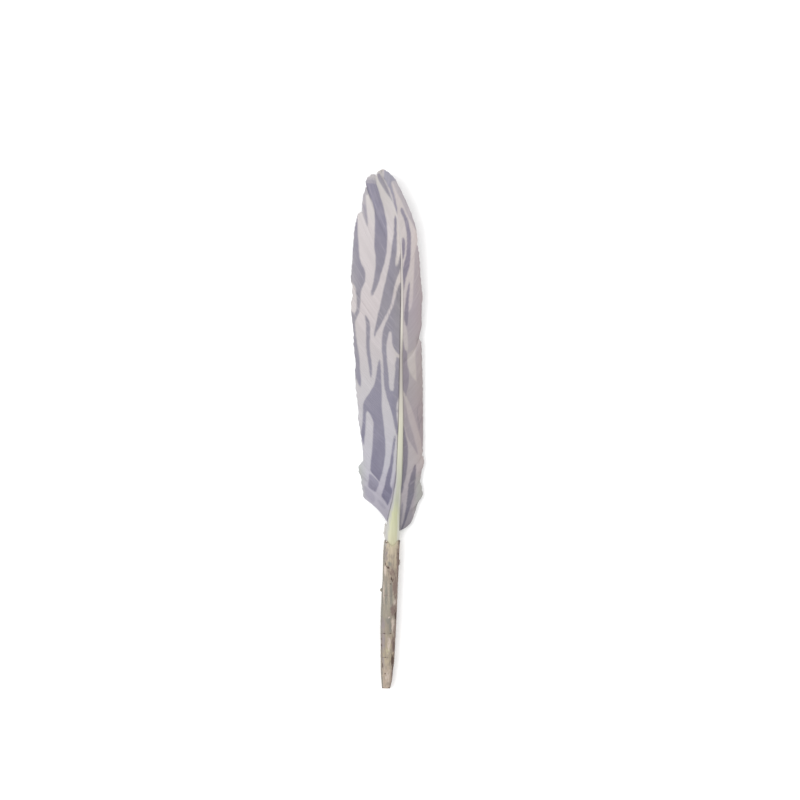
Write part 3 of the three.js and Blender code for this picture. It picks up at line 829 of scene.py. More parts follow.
LEFT_VANE_FINISH = PrintedVane(
    "printed vane, wide side", roughness=0.8, specular=0.25,
    bare=(
        (-28, "#b4b0bb"), (-18, "#bab6c1"), (-10, "#c3c1c9"), (-2, "#c6c3c9"), (14, "#cac6c9"),
        (22, "#cdc7c9"), (38, "#d3cbcc"), (50, "#d5cecf"), (62, "#d7d0d1"), (74, "#d7d2d0"),
    ),
    dyed=(
        (-28, "#7c7a90"), (-18, "#817e92"), (-5, "#8c899b"),
        (12, "#9693a2"), (38, "#9b97a0"), (63, "#9591a1"),
    ),
    across=((-11, "#fdfffd"), (-8, "#ffffff"), (1.5, "#ffffff"), (4, "#fffef8")),
)
RIGHT_VANE_FINISH = PrintedVane(
    "printed vane, narrow side", roughness=0.8, specular=0.25,
    bare=(
        (-30, "#a9a4a8"), (-18, "#b3abb0"), (-10, "#b6afb1"), (5, "#b8aeaf"), (14, "#bdb6b3"),
        (22, "#c0b9b7"), (38, "#c5bbbe"), (45, "#cac1c0"), (50, "#cdc4c3"), (62, "#d0c8c7"),
    ),
    dyed=(
        (-30, "#757180"), (-20, "#7c7985"), (-8, "#87818d"), (20, "#978f98"), (38, "#908996"),
        (58, "#928b9a"), (70, "#9b96a4"), (78, "#aaa8b4"),
    ),
    # The slight darkening beside the shaft is painted shade from the shaft.
    across=((4.5, "#fbfbfb"), (7, "#ffffff"), (9, "#fffcfb"), (11, "#fff9f4")),
    thins=(10.5, 12.0, 0.9), aged="#f2fff6", aged_below=(-13.0, -17.0), aged_beyond=(8.0, 9.5),
)
KERATIN_FINISH = QuillKeratin(
    "quill keratin", roughness=0.45, specular=0.4,
    centre=(
        (-80, "#b6ab93"), (-38, "#c6bfa0"), (-31, "#c8c8a9"), (-26, "#c0c29e"), (-22, "#b2b4a2"),
        (-18, "#b5b6a6"), (-10, "#c5c5b3"), (-4, "#cbcbb7"), (3, "#cfccbb"), (9, "#c6c1b6"),
        (13, "#b9b4ac"), (23, "#afa9a3"), (31, "#d4cfc4"), (40, "#cbc5c0"), (52, "#c4bdba"),
        (70, "#cbc6c8"),
    ),
)
SHEATH_FINISH = DriedSheath(
    "dried sheath", roughness=0.7, specular=0.3,
    mean=(
        (-80, "#b3a292"), (-75, "#b1a191"), (-70, "#b1a48c"), (-66, "#a49784"), (-60, "#988f81"),
        (-52, "#a49c8c"), (-46, "#a19586"), (-42, "#b4a691"), (-36, "#c2b59e"),
    ),
)


# --- Shaft ---------------------------------------------------------------------------------------


@dataclass(frozen=True)
class Shaft:
    """The quill and the shaft between the vanes, grown as one piece."""

    stations: Rows = (  # Y, centre X, width, depth and height of the underside
        (-80.0, -0.4, 2.1, 2.0, 0.5), (-77.6, -0.2, 2.8, 2.6, 0.3), (-74.5, -0.1, 3.3, 3.1, 0.15),
        (-71.4, 0.1, 3.7, 3.4, 0.05), (-65.5, 0.2, 4.1, 3.8, 0.0), (-56.3, 0.5, 4.5, 4.1, 0.0),
        (-45.1, 1.0, 4.4, 4.1, 0.0), (-37.4, 1.3, 4.5, 4.1, 0.0), (-31.2, 1.7, 4.4, 4.0, 0.0),
        (-28.1, 2.0, 4.0, 3.8, 0.0), (-25.0, 2.4, 3.3, 3.5, 0.0), (-21.9, 2.9, 2.7, 3.3, 0.0),
        (-18.8, 3.2, 2.25, 3.1, 0.0), (-15.8, 3.6, 2.0, 2.9, 0.0), (-9.6, 3.9, 1.9, 2.7, 0.0),
        (-3.4, 4.1, 1.75, 2.5, 0.0), (2.8, 4.25, 1.5, 2.3, 0.0), (9.0, 4.3, 1.3, 2.1, 0.1),
        (15.2, 4.3, 1.1, 1.9, 0.2), (21.3, 4.35, 0.95, 1.75, 0.5), (30.6, 4.5, 0.9, 1.5, 1.0),
        (39.9, 4.65, 0.85, 1.3, 1.6), (49.2, 4.55, 0.7, 1.0, 2.4), (55.4, 4.4, 0.6, 0.85, 3.0),
        (62.2, 3.7, 0.5, 0.7, 3.7), (68.7, 2.2, 0.4, 0.55, 4.4), (75.5, -0.15, 0.35, 0.45, 5.1),
        (79.4, -1.6, 0.3, 0.35, 5.4),
    )
    roundness: tuple[float, float] = (1.0, 0.78)  # section of the quill and of the squarer shaft
    squares_between: tuple[float, float] = (-30.0, -15.0)  # Y where the one turns into the other
    sheath: float = 0.22  # thickness of the dried sheath that the quill lies in
    sheath_end: tuple[float, float] = (-35.0, -31.0)  # Y where the quill leaves it, and has settled
    sides: int = 48  # points round one ring
    spacing: float = 0.7  # between rings
    bore: tuple[float, float] = (0.55, 3.0)  # share that is hollow at the cut end, and how deep
    cut: tuple[float, float] = (0.06, 0.98)  # height of the cut's rounded edge, and its size there
    groove: tuple[float, float] = (0.16, 0.42)  # depth, and half width in radians, on the underside
    finish: QuillKeratin = KERATIN_FINISH

    def section(self, y: np.ndarray) -> tuple[np.ndarray, ...]:
        """Reads the stations at any Y.

        Args:
            y: The places along the shaft.

        Returns:
            Centre X, width, depth and height of the underside there.
        """
        values = read_rows(self.stations, np.clip(y, self.stations[0][0], self.stations[-1][0]).ravel())
        values[:, 3] = np.maximum(values[:, 3], 0)
        return tuple(column.reshape(y.shape) for column in values.T)

    def skin(self, y: np.ndarray, angle: np.ndarray, extra: float = 0.0, scale: float = 1.0) -> np.ndarray:
        """Places points round the shaft.

        Args:
            y: Y of each point.
            angle: Its angle round the shaft, from -X over the top.
            extra: How far it lies outside the shaft's own surface.
            scale: How far it is drawn in towards the middle.

        Returns:
            The points, with X, Y and Z on the last axis.
        """
        centre, width, depth, under = self.section(y)
        quill, vaned = self.roundness
        power = quill + (vaned - quill) * smooth_step(y, *self.squares_between)
        across, up = np.cos(angle), np.sin(angle)
        across = np.sign(across) * np.abs(across) ** power
        up = np.sign(up) * np.abs(up) ** power
        lift = self.sheath * (1 - smooth_step(y, *self.sheath_end))
        half_depth = depth / 2 + extra
        return np.stack([
            centre - scale * (width / 2 + extra) * across,
            y,
            under + lift + depth / 2 + scale * half_depth * up,
        ], axis=-1)

    def grid(self, places: np.ndarray, sides: int) -> tuple[np.ndarray, np.ndarray]:
        """Spreads places along the shaft over the angles of a ring."""
        angles = (np.arange(sides) + 0.5) * 2 * math.pi / sides
        return np.meshgrid(places, angles, indexing="ij")

    def build(self, stripes: ZebraPrint) -> bpy.types.Object:
        """Makes the shaft, hollow at its cut end and grooved along its underside.

        Args:
            stripes: The print, which covers the thin end.

        Returns:
            The finished piece.
        """
        start, tip = self.stations[0][0], self.stations[-1][0]
        hollow, deep = self.bore
        high, drawn_in = self.cut
        rim = np.array([start + deep, start, start, start + high])
        body = np.linspace(start + self.spacing, tip, round((tip - start) / self.spacing))
        y, angle = self.grid(np.concatenate([rim, body]), self.sides)
        scale = np.ones_like(y)
        scale[:3] = np.array([[hollow], [hollow], [drawn_in]])
        depth, width = self.groove
        _, _, thick, _ = self.section(y)
        sunk = depth * (thick / 3) * np.exp(-(((angle - math.pi / 2) / width) ** 2))
        points = self.skin(y, angle, scale=scale)
        points[..., 2] -= sunk * smooth_step(y, *self.squares_between)
        shaft = loft("quill_shaft", points)
        place = points_of(shaft.data)
        centre, broad, _, _ = self.section(place[:, 1])
        store(shaft.data, "across", np.clip((place[:, 0] - centre) / (broad / 2), -1, 1))
        stripes.mark(shaft.data)
        shaft.data.materials.append(self.finish.build())
        hand_over(shaft, "shaft")
        return shaft


# --- Sheath --------------------------------------------------------------------------------------


# X, Y, half width, half length and strength of each mark.
STAINS: dict[Stain, Rows] = {
    Stain.MOSS: (
        (0.75, -41.4, 0.7, 1.1, 0.9), (-0.35, -51.0, 0.6, 6.0, 0.9), (1.2, -51.0, 0.5, 6.0, 1.0),
        (1.4, -55.2, 0.8, 1.8, 0.8), (0.3, -58.9, 0.9, 1.2, 1.2), (1.05, -61.2, 0.55, 2.0, 1.1),
        (0.2, -62.9, 1.2, 0.9, 0.6),
    ),
    Stain.MAUVE: (
        (-0.3, -38.3, 0.7, 4.0, 0.7), (-1.3, -60.5, 0.8, 3.0, 0.8), (-1.3, -65.5, 0.9, 3.6, 0.9),
        (-1.2, -72.0, 0.6, 3.0, 0.7),
    ),
    Stain.HORN: ((1.5, -34.6, 1.2, 1.6, 1.1), (0.4, -68.2, 0.9, 0.9, 0.6)),
    Stain.FILM: ((-0.8, -31.2, 0.9, 3.4, 2.0), (4.4, -41.0, 0.6, 2.5, 2.0)),
    Stain.PALE: (
        (-0.6, -43.4, 0.4, 1.8, 1.2), (-1.05, -50.2, 0.22, 4.2, 1.0), (0.4, -50.0, 0.22, 4.0, 0.6),
        (2.4, -53.4, 0.55, 1.2, 1.0), (0.5, -58.0, 0.4, 0.4, 0.8), (1.75, -60.4, 0.55, 2.8, 1.0),
        (0.5, -66.0, 0.8, 3.2, 0.8), (0.2, -76.0, 1.0, 2.6, 0.7),
    ),
    Stain.BROWN: (
        (3.2, -41.5, 0.4, 6.0, 1.1), (1.6, -44.2, 1.7, 1.8, 0.75), (2.4, -48.6, 0.85, 4.6, 1.0),
        (1.9, -56.0, 0.9, 1.9, 1.0), (2.5, -55.5, 0.5, 2.2, 1.0), (1.85, -66.4, 0.6, 3.0, 1.2),
        (1.5, -76.0, 0.5, 2.6, 1.0), (-0.4, -51.2, 0.8, 0.22, 0.9), (2.0, -62.0, 0.3, 2.0, 0.8),
        (-1.75, -70.0, 0.2, 9.0, 0.7), (1.2, -45.6, 1.0, 1.4, 0.6),
    ),
    Stain.CRACK: (
        (-0.6, -34.6, 0.2, 0.6, 1.1), (0.25, -34.7, 0.2, 0.5, 0.9), (-0.14, -35.0, 0.6, 0.2, 1.0),
        (3.7, -34.9, 0.32, 0.9, 1.2), (3.5, -39.5, 0.16, 3.6, 0.9), (3.3, -44.6, 0.16, 2.6, 0.8),
        (-1.1, -38.7, 0.14, 2.6, 0.8), (-0.55, -41.7, 0.2, 0.6, 1.0), (-0.15, -42.3, 0.22, 0.4, 1.0),
        (0.3, -42.7, 0.4, 0.36, 1.3), (1.35, -46.0, 0.24, 0.6, 1.0), (1.7, -46.7, 0.24, 0.6, 1.0),
        (1.07, -47.6, 0.24, 0.3, 1.0), (2.75, -51.8, 0.14, 1.2, 0.8), (2.5, -57.3, 0.3, 1.8, 1.1),
        (-0.9, -62.95, 0.8, 0.16, 0.9), (0.95, -62.95, 0.5, 0.16, 1.0), (-1.85, -64.7, 0.25, 0.4, 1.0),
        (-1.85, -66.7, 0.25, 0.4, 1.0), (2.15, -66.8, 0.26, 2.6, 0.9), (1.6, -71.2, 0.55, 2.1, 1.1),
        (1.75, -74.2, 0.32, 3.2, 1.1), (-0.6, -70.35, 1.4, 0.14, 0.8), (-1.4, -73.0, 0.18, 1.2, 0.9),
        (-0.6, -75.4, 0.28, 0.3, 0.9), (-1.4, -79.8, 0.4, 0.4, 0.9), (0.6, -79.8, 0.4, 0.4, 0.9),
    ),
}


@dataclass(frozen=True)
class Sheath:
    """The dried sheath round the bare quill, torn along its upper rim."""

    shaft: Shaft  # the quill that it is stuck to
    clear: float = 0.03  # gap between quill and sheath
    rim: float = -34.5  # Y of the torn rim
    notch: tuple[float, float, float] = (1.2, 0.5, math.radians(97))  # depth, half width and angle
    wave: float = 0.3  # how far the rim wanders otherwise
    rim_zone: float = 8.0  # length over which that dies out
    wrinkle: float = 0.06  # height of the wrinkles
    crease: tuple[float, float] = (2.2, 0.16)  # how closely they lie round and along the quill
    rings: int = 260  # along it
    sides: int = 80  # points round one ring
    stains: Mapping[Stain, Rows] = field(default_factory=lambda: STAINS)
    # Painted shade that darkens its two sides towards the outline: the stain kinds whose colours it takes,
    # and from where to where across it.
    side_shade_kinds: Mapping[Stain, tuple[float, float]] = field(
        default_factory=lambda: {Stain.BROWN: (0.62, 0.95), Stain.MOSS: (-0.5, -0.85)}
    )
    # How dark that painted shade is.
    side_shade_strength: float = 0.8
    fade: tuple[float, float] = (-1.0, -0.3)  # height over the middle between which marks set in
    # Y and angle of each loose flake's root, then its length across and along, and its width.
    flakes: Rows = (
        (-49.7, 0.0, -0.8, 0.1, 1.5), (-31.6, 0.0, -0.5, -0.2, 5.8), (-29.7, 0.0, -0.6, 0.2, 0.7),
        (-32.2, 0.05, -0.65, 0.1, 0.9), (-40.9, 3.1, 0.6, -0.2, 2.8), (-57.9, 3.1, 0.2, 0.0, 1.2),
        (-71.0, 3.1, 0.15, -0.1, 1.0),
    )
    finish: DriedSheath = SHEATH_FINISH

    def torn(self, angle: np.ndarray) -> np.ndarray:
        """Lets the rim wander round the quill.

        Args:
            angle: The angle round the quill.

        Returns:
            How far the rim stands there from its mean place.
        """
        deep, wide, at = self.notch
        fray = sum(np.sin(k * angle + k * k) / k for k in (5, 9, 14, 23))
        notch = deep * np.exp(-(((angle - at) / wide) ** 2))
        return self.wave * (np.sin(3 * angle) + 1.2 * fray) - notch

    def surface(self, outside: float, wrinkle: float) -> np.ndarray:
        """Lays a skin round the quill.

        Args:
            outside: Its distance from the quill.
            wrinkle: The height of its wrinkles.

        Returns:
            Its rings, from the cut end to the rim.
        """
        shaft = self.shaft
        start = shaft.stations[0][0]
        y, angle = shaft.grid(np.linspace(start, self.rim, self.rings), self.sides)
        y = y + self.torn(angle) * smooth_step(y, self.rim - self.rim_zone, self.rim) ** 2
        y = np.maximum(y, start)
        points = shaft.skin(y, angle, outside)
        if wrinkle:
            turn, run = self.crease
            height = np.array([
                noise.fractal(Vector((turn * math.cos(a), run * b, turn * math.sin(a))), 0.7, 2.0, 4)
                for a, b in zip(angle.ravel(), y.ravel())
            ]).reshape(y.shape)
            points[..., 0] -= wrinkle * height * np.cos(angle)
            points[..., 2] = np.maximum(points[..., 2] + wrinkle * height * np.sin(angle), 0)
        return points

    def flake(self, root: np.ndarray, tip: np.ndarray, width: float) -> np.ndarray:
        """Makes a thin leaf that stands off the sheath.

        Args:
            root: The middle of its foot.
            tip: Its free end.
            width: Its width at the foot, along the quill.

        Returns:
            Its rings, from foot to tip.
        """
        sides, steps, thickness = 10, 8, 0.07
        angles = np.arange(sides) * 2 * math.pi / sides
        rings = []
        for share in np.linspace(0, 1, steps):
            middle = root + (tip - root) * share
            half = width / 2 * (1 - share) ** 0.5 + 0.02
            ring = np.zeros((sides, 3)) + middle
            ring[:, 1] += half * np.cos(angles)
            ring[:, 2] += thickness / 2 * np.sin(angles) * (1.2 - share) - 0.25 * share**2
            rings.append(ring)
        return np.array(rings)

    def build(self) -> bpy.types.Object:
        """Makes the sheath with its torn rim and loose flakes, stains it and paints shade along its sides.

        Returns:
            The finished piece.
        """
        outer = self.surface(self.shaft.sheath, self.wrinkle)
        inner = self.surface(self.clear, 0.0)
        sheath = loft("calamus_sheath", np.concatenate([outer, inner[::-1]]), loop=True)
        parts = [sheath]
        for y, angle, across, along, width in self.flakes:
            edge = self.shaft.skin(np.array([y]), np.array([angle]), self.clear)[0]
            foot = edge - np.array([0.15 * math.copysign(1, across), 0, 0])
            tip = edge + np.array([across, along, 0.1])
            parts.append(loft(f"flake_{len(parts)}", self.flake(foot, tip, width)))
        with bpy.context.temp_override(active_object=sheath, selected_editable_objects=parts):
            bpy.ops.object.join()
        place = points_of(sheath.data)
        centre, width, depth, under = self.shaft.section(place[:, 1])
        side = (place[:, 0] - centre) / (width / 2 + self.shaft.sheath)
        above = smooth_step(place[:, 2] - under - depth / 2, *self.fade)
        for kind in Stain:
            share = np.zeros(len(place))
            for x, y, wide, tall, strength in self.stains[kind]:
                away = ((place[:, 0] - x) / wide) ** 2 + ((place[:, 1] - y) / tall) ** 2
                share = np.maximum(share, strength * np.exp(-away))
            # Painted shade: the sides darken towards the outline, in the colours of two stain kinds.
            if kind in self.side_shade_kinds:
                near, far = self.side_shade_kinds[kind]
                edge = self.side_shade_strength * smooth_step(side, near, far) * (np.abs(side) < 1.1)
                share = np.maximum(share, edge)
            store(sheath.data, kind.attribute, share * above)
        sheath.data.materials.append(self.finish.build())
        hand_over(sheath, "shaft")
        return sheath


# --- Vanes ---------------------------------------------------------------------------------------


LEFT_BARBS = (
    (-28.8, -6.95, -21.55), (-28.2, -7.45, -20.9), (-27.6, -7.55, -19.9), (-26.8, -7.8, -18.2),
    (-26.0, -8.15, -16.6), (-25.2, -8.1, -15.4), (-24.4, -8.5, -14.1), (-23.6, -9.0, -13.1),
    (-22.6, -9.0, -11.6), (-21.8, -8.85, -10.9), (-21.2, -8.3, -10.3), (-20.6, -7.6, -9.8),
    (-20.1, -7.5, -9.2), (-18.5, -7.55, -7.6), (-16.4, -7.9, -4.9), (-11.1, -8.6, 0.6),
    (-9.0, -9.2, 3.2), (-7.6, -9.0, 5.2), (-6.3, -9.1, 6.5), (-4.0, -9.5, 9.3), (-1.2, -9.85, 12.7),
    (3.3, -10.15, 18.3), (4.5, -9.9, 19.8), (5.6, -9.95, 21.3), (9.0, -10.5, 25.6),
    (13.0, -10.65, 30.6), (17.0, -11.2, 35.6), (18.4, -11.4, 37.4), (19.5, -11.4, 38.7),
    (20.3, -11.35, 39.6), (21.5, -10.85, 41.1), (23.2, -11.0, 43.0), (24.6, -11.0, 45.0),
    (25.2, -11.4, 45.8), (26.2, -11.45, 47.0), (28.0, -11.2, 49.2), (32.2, -10.75, 54.4),
    (35.5, -10.55, 58.9), (37.9, -10.25, 61.5), (40.5, -9.6, 65.3), (41.4, -9.4, 66.2),
    (41.9, -8.6, 66.9), (42.4, -7.9, 67.4), (44.8, -7.9, 69.3), (47.6, -7.6, 72.4),
    (49.8, -6.5, 75.1), (51.6, -6.75, 76.4), (52.6, -6.7, 77.0), (53.4, -6.35, 77.6),
    (54.4, -5.8, 78.2), (56.0, -5.1, 78.65), (58.0, -4.5, 78.8), (60.5, -3.9, 78.75),
    (62.5, -3.5, 78.5), (64.0, -3.2, 79.1), (66.2, -2.8, 79.6), (70.0, -2.3, 79.85),
    (73.9, -1.9, 80.0), (77.0, -1.3, 80.05), (78.6, -0.8, 80.1),
)
LEFT_UNDERSIDE = (
    (-28.8, 0.6), (-26.0, 0.35), (-23.6, 0.1), (-21.6, 0.0), (-16.4, 0.2), (-6.3, 0.35), (5.6, 0.25),
    (17.0, 0.0), (21.5, 0.0), (25.5, 0.25), (32.2, 1.1), (42.4, 2.7), (49.8, 3.9), (58.5, 4.7),
    (73.9, 5.3), (78.6, 5.3),
)
RIGHT_BARBS = (
    (-31.4, 4.2, -31.0), (-31.2, 6.0, -30.1), (-30.9, 7.2, -29.1), (-30.4, 8.2, -27.0),
    (-29.8, 8.8, -25.0), (-28.4, 9.5, -22.5), (-26.6, 11.1, -20.0), (-24.0, 10.6, -17.1),
    (-22.8, 10.1, -16.1), (-19.2, 10.7, -12.7), (-16.9, 11.5, -10.3), (-15.3, 11.2, -8.6),
    (-14.8, 10.9, -7.8), (-14.4, 11.0, -7.0), (-11.1, 11.1, -3.4), (-2.5, 11.1, 5.9),
    (5.9, 11.0, 14.5), (14.9, 10.7, 23.5), (18.7, 10.6, 27.1), (20.0, 9.8, 28.2),
    (21.4, 10.2, 30.4), (23.5, 10.7, 32.2), (30.0, 10.7, 39.0), (31.4, 11.0, 40.5),
    (36.5, 10.4, 46.1), (45.2, 9.8, 54.7), (47.8, 9.2, 57.4), (48.6, 9.4, 58.5),
    (52.3, 8.9, 61.9), (56.6, 7.7, 65.9), (60.6, 6.3, 69.3), (64.9, 4.55, 73.0),
    (69.3, 2.65, 76.7), (72.0, 1.4, 78.3), (74.0, 0.7, 78.95), (76.0, 0.1, 79.45),
    (77.6, -0.6, 79.85), (78.6, -1.6, 80.05),
)
RIGHT_UNDERSIDE = (
    (-31.4, 1.3), (-15.3, 1.35), (-2.5, 1.2), (5.9, 1.5), (14.9, 2.1), (23.5, 2.6), (36.5, 3.8),
    (48.6, 4.8), (60.6, 5.6), (69.3, 5.8), (78.6, 5.7),
)


@dataclass(frozen=True)
class Vane:
    """One web of barbs. Geometry Nodes lay one barb in each gap between two boundary curves."""

    name: str
    node: str  # the solid that it stands for
    shaft: Shaft
    side: int  # -1 for the wide left vane, 1 for the narrow right one
    bow: Rows  # Y of a root, and a barb's outward bow there as a share of its length
    barbs: Rows  # Y of a barb's root, then X and Y of its free end, from the quill end up
    underside: Rows  # Y of a root, and how high the free end's underside lies
    finish: PrintedVane
    splits: Rows = ()  # Y of a root, and the width of the opening where the web has parted
    pitch: float = 0.4  # between barbs; real ones are 0.3 mm apart, this is as fine as shows
    attach: float = 0.62  # where a barb leaves the shaft, as a share of its depth
    inset: float = 0.22  # how far its root reaches into the shaft
    sag: float = 0.015  # dip between a barb's ends, as a share of its length
    root_thickness: tuple[float, float] = (0.24, 0.45)  # least and greatest
    root_share: float = 0.4  # that thickness as a share of the shaft's depth
    edge_thickness: float = 0.22  # at the free end
    overlap: float = 0.6  # how far a barb's web reaches over its neighbours
    taper: float = 0.04  # share of a barb over which its free end narrows
    frayed: float = 0.012  # how far free ends differ, as a share of a barb
    ragged: tuple[float, float] = (0.35, 1.0)  # how far clumps stand out of the edge, and their size
    lift: float = 0.08  # how far free ends stand out of the web
    clear: float = 0.01  # least height above the floor
    segments: int = 34  # steps along one barb
    seed: int = 7  # start of the random draws

    def boundaries(self) -> np.ndarray:
        """Sets further barbs evenly between the given ones, to the pitch.

        Returns:
            Rows like those given, one for each boundary between barbs.
        """
        given = np.array(self.barbs, float)
        lines = []
        for low, high in zip(given, given[1:]):
            reach = max(high[0] - low[0], math.hypot(high[1] - low[1], high[2] - low[2]))
            count = max(1, round(reach / self.pitch))
            lines += [low + (high - low) * k / count for k in range(count)]
        return np.array([*lines, given[-1]])

    def opened(self, lines: np.ndarray, middles: np.ndarray) -> np.ndarray:
        """Measures how far each boundary's free end is pushed aside by the splits.

        Args:
            lines: Y of each boundary's root.
            middles: Y of the root of the barb that the boundary is wanted for.

        Returns:
            The push along the outer edge, in millimetres.
        """
        spread = 2.5
        push = np.zeros(len(lines))
        for at, width in self.splits:
            push += np.sign(middles - at) * width / 2 * np.exp(-np.abs(lines - at) / spread)
        return push

    def curves(self, lines: np.ndarray, middles: np.ndarray) -> dict[str, np.ndarray]:
        """Works out the boundary curves' control points.

        Args:
            lines: The boundaries' rows.
            middles: Y of the root of the barb that each is wanted for.

        Returns:
            Root, bend and tip of each curve in millimetres, and half its thickness at the root.
        """
        root_y, tip_x, tip_y = lines.T
        centre, width, depth, under = self.shaft.section(root_y)
        thick = np.clip(self.root_share * depth, *self.root_thickness)
        root = np.stack([centre + self.side * width / 2, root_y], axis=1)
        tip = np.stack([tip_x, tip_y], axis=1)
        run = tip - root
        high, size = self.ragged
        out = [high * noise.noise(Vector((a / size, b / size, self.seed))) for a, b in tip]
        tip = tip + run * (np.array(out) / np.linalg.norm(run, axis=1))[:, None]
        outward = np.stack([self.side * np.abs(run[:, 1]), -np.abs(run[:, 0])], axis=1)
        bow = np.interp(root_y, *np.transpose(self.bow))
        bend = (root + tip) / 2 + 2 * bow[:, None] * outward
        push = self.opened(root_y, middles)
        edge = np.gradient(tip, axis=0)
        edge /= np.maximum(np.linalg.norm(edge, axis=1), 1e-6)[:, None]
        root[:, 0] -= self.side * np.minimum(self.inset, width / 2)
        root_z = under + self.attach * depth + thick / 2
        tip_z = np.interp(root_y, *np.transpose(self.underside)) + self.edge_thickness / 2
        bend_z = (root_z + tip_z) / 2 - 2 * self.sag * np.linalg.norm(run, axis=1)
        return {
            "root": np.column_stack([root, root_z]),
            "bend": np.column_stack([bend, bend_z]),
            "tip": np.column_stack([tip + edge * push[:, None], tip_z]),
            "root_half": thick / 2,
        }

    def seeds(self) -> bpy.types.Object:
        """Makes one loose point for each barb, which carries its two boundary curves.

        Returns:
            The object with the points, under the vane's name.
        """
        lines = self.boundaries()
        middles = (lines[1:, 0] + lines[:-1, 0]) / 2
        low, high = self.curves(lines[:-1], middles), self.curves(lines[1:], middles)
        this, after = (low, high) if self.side > 0 else (high, low)
        mesh = bpy.data.meshes.new(f"{self.name}_seeds")
        mesh.from_pydata([(0.0, 0.0, 0.0)] * len(middles), [], [])
        for prefix, curve in (("this", this), ("next", after)):
            for part in ("root", "bend", "tip"):
                attribute = mesh.attributes.new(f"{prefix}_{part}", "FLOAT_VECTOR", "POINT")
                attribute.data.foreach_set("vector", (curve[part] * MM).astype(np.float32).ravel())
        store(mesh, "root_half", this["root_half"] * MM)
        seeds = bpy.data.objects.new(self.name, mesh)
        bpy.context.scene.collection.objects.link(seeds)
        return seeds

    def web_tree(self) -> Tree:
        """Builds the tree that grows a barb from each seed and joins them into one web.

        Returns:
            The tree, with its sizes as named inputs.
        """
        tree = bpy.data.node_groups.new(f"web of barbs, {self.node}", "GeometryNodeTree")
        for label, kind in (
            ("Seeds", "Geometry"), ("Segments", "Int"), ("Edge Half Thickness", "Float"),
            ("Web Overlap", "Float"), ("Tip Taper", "Float"), ("Frayed", "Float"), ("Lift", "Float"),
            ("Seed", "Int"), ("Finish", "Material"),
        ):
            tree.interface.new_socket(label, in_out="INPUT", socket_type=f"NodeSocket{kind}")
        tree.interface.new_socket("Web", in_out="OUTPUT", socket_type="NodeSocketGeometry")
        add = partial(add_node, tree)
        given = add("NodeGroupInput").node.outputs
        strip = self.strip(tree, given)

        # One copy on each seed; the seed's values travel with the copy.
        chance = add("FunctionNodeRandomValue", {"Seed": given["Seed"]}, out="Value_001", data_type="FLOAT")
        inputs = {"Geometry": given["Seeds"], "Name": "barb_random", "Value": chance}
        seeds = add("GeometryNodeStoreNamedAttribute", inputs, data_type="FLOAT", domain="POINT")
        web = add("GeometryNodeInstanceOnPoints", {"Points": seeds, "Instance": strip})
        web = add("GeometryNodeRealizeInstances", [web])
        web = add("GeometryNodeSetPosition", {"Geometry": web, "Position": self.laid(tree, given)})
        web = add("GeometryNodeSetShadeSmooth", {"Geometry": web, "Shade Smooth": True})
        web = add("GeometryNodeRealizeInstances", [web])
        web = add("GeometryNodeSetMaterial", {"Geometry": web, "Material": given["Finish"]})
        add("NodeGroupOutput", [web])
        return tree

    def strip(self, tree: Tree, given: Any) -> Any:
        """Makes a closed strip to copy: X runs along the barb, Y across its web, Z is its ridge.

        Args:
            tree: The web's tree.
            given: The tree's inputs.

        Returns:
            A socket with the strip, which keeps those places as its lattice.
        """
        add = partial(add_node, tree)
        around, root_taper, bluntness, weld = 6, 0.02, 0.6, 1e-4
        rows = add(MATH, [given["Segments"], 1.0], operation="ADD")
        strip = add("GeometryNodeMeshGrid", [1.0, 1.0, rows, around + 1])
        x, y, _ = add(SPLIT, [add("GeometryNodeInputPosition")]).node.outputs
        share = add(MATH, [x, 0.5], operation="ADD")
        angle = add(MATH, [y, -2 * math.pi, -math.pi], operation="MULTIPLY_ADD")
        cosine = add(MATH, [angle], operation="COSINE")
        spread = add(MATH, [cosine], operation="ABSOLUTE")
        spread = add(MATH, [spread, cosine], operation="MULTIPLY")
        spread = add(MATH, [spread, 0.5], operation="MULTIPLY")
        ridge = add(MATH, [angle], operation="SINE")
        ridge = add(MATH, [ridge, 1 / math.sin(math.pi / 3)], operation="MULTIPLY")
        narrow_from = add(MATH, [1.0, given["Tip Taper"]], operation="SUBTRACT")
        free_end = add(RANGE, [share, narrow_from, 1.0, 1.0, 0.0])
        free_end = add(MATH, [free_end, bluntness], operation="POWER")
        root_end = add(RANGE, [share, 0.0, root_taper, 0.0, 1.0])
        broad = add(MATH, [free_end, root_end], operation="MULTIPLY")
        section = [add(MATH, [part, broad], operation="MULTIPLY") for part in (spread, ridge)]
        lattice = add("ShaderNodeCombineXYZ", [share, *section])
        strip = add("GeometryNodeSetPosition", {"Geometry": strip, "Position": lattice})
        strip = add("GeometryNodeMergeByDistance", {"Geometry": strip, "Distance": weld})
        shape = {"Geometry": strip, "Name": "lattice", "Value": add("GeometryNodeInputPosition")}
        return add("GeometryNodeStoreNamedAttribute", shape, data_type="FLOAT_VECTOR", domain="POINT")

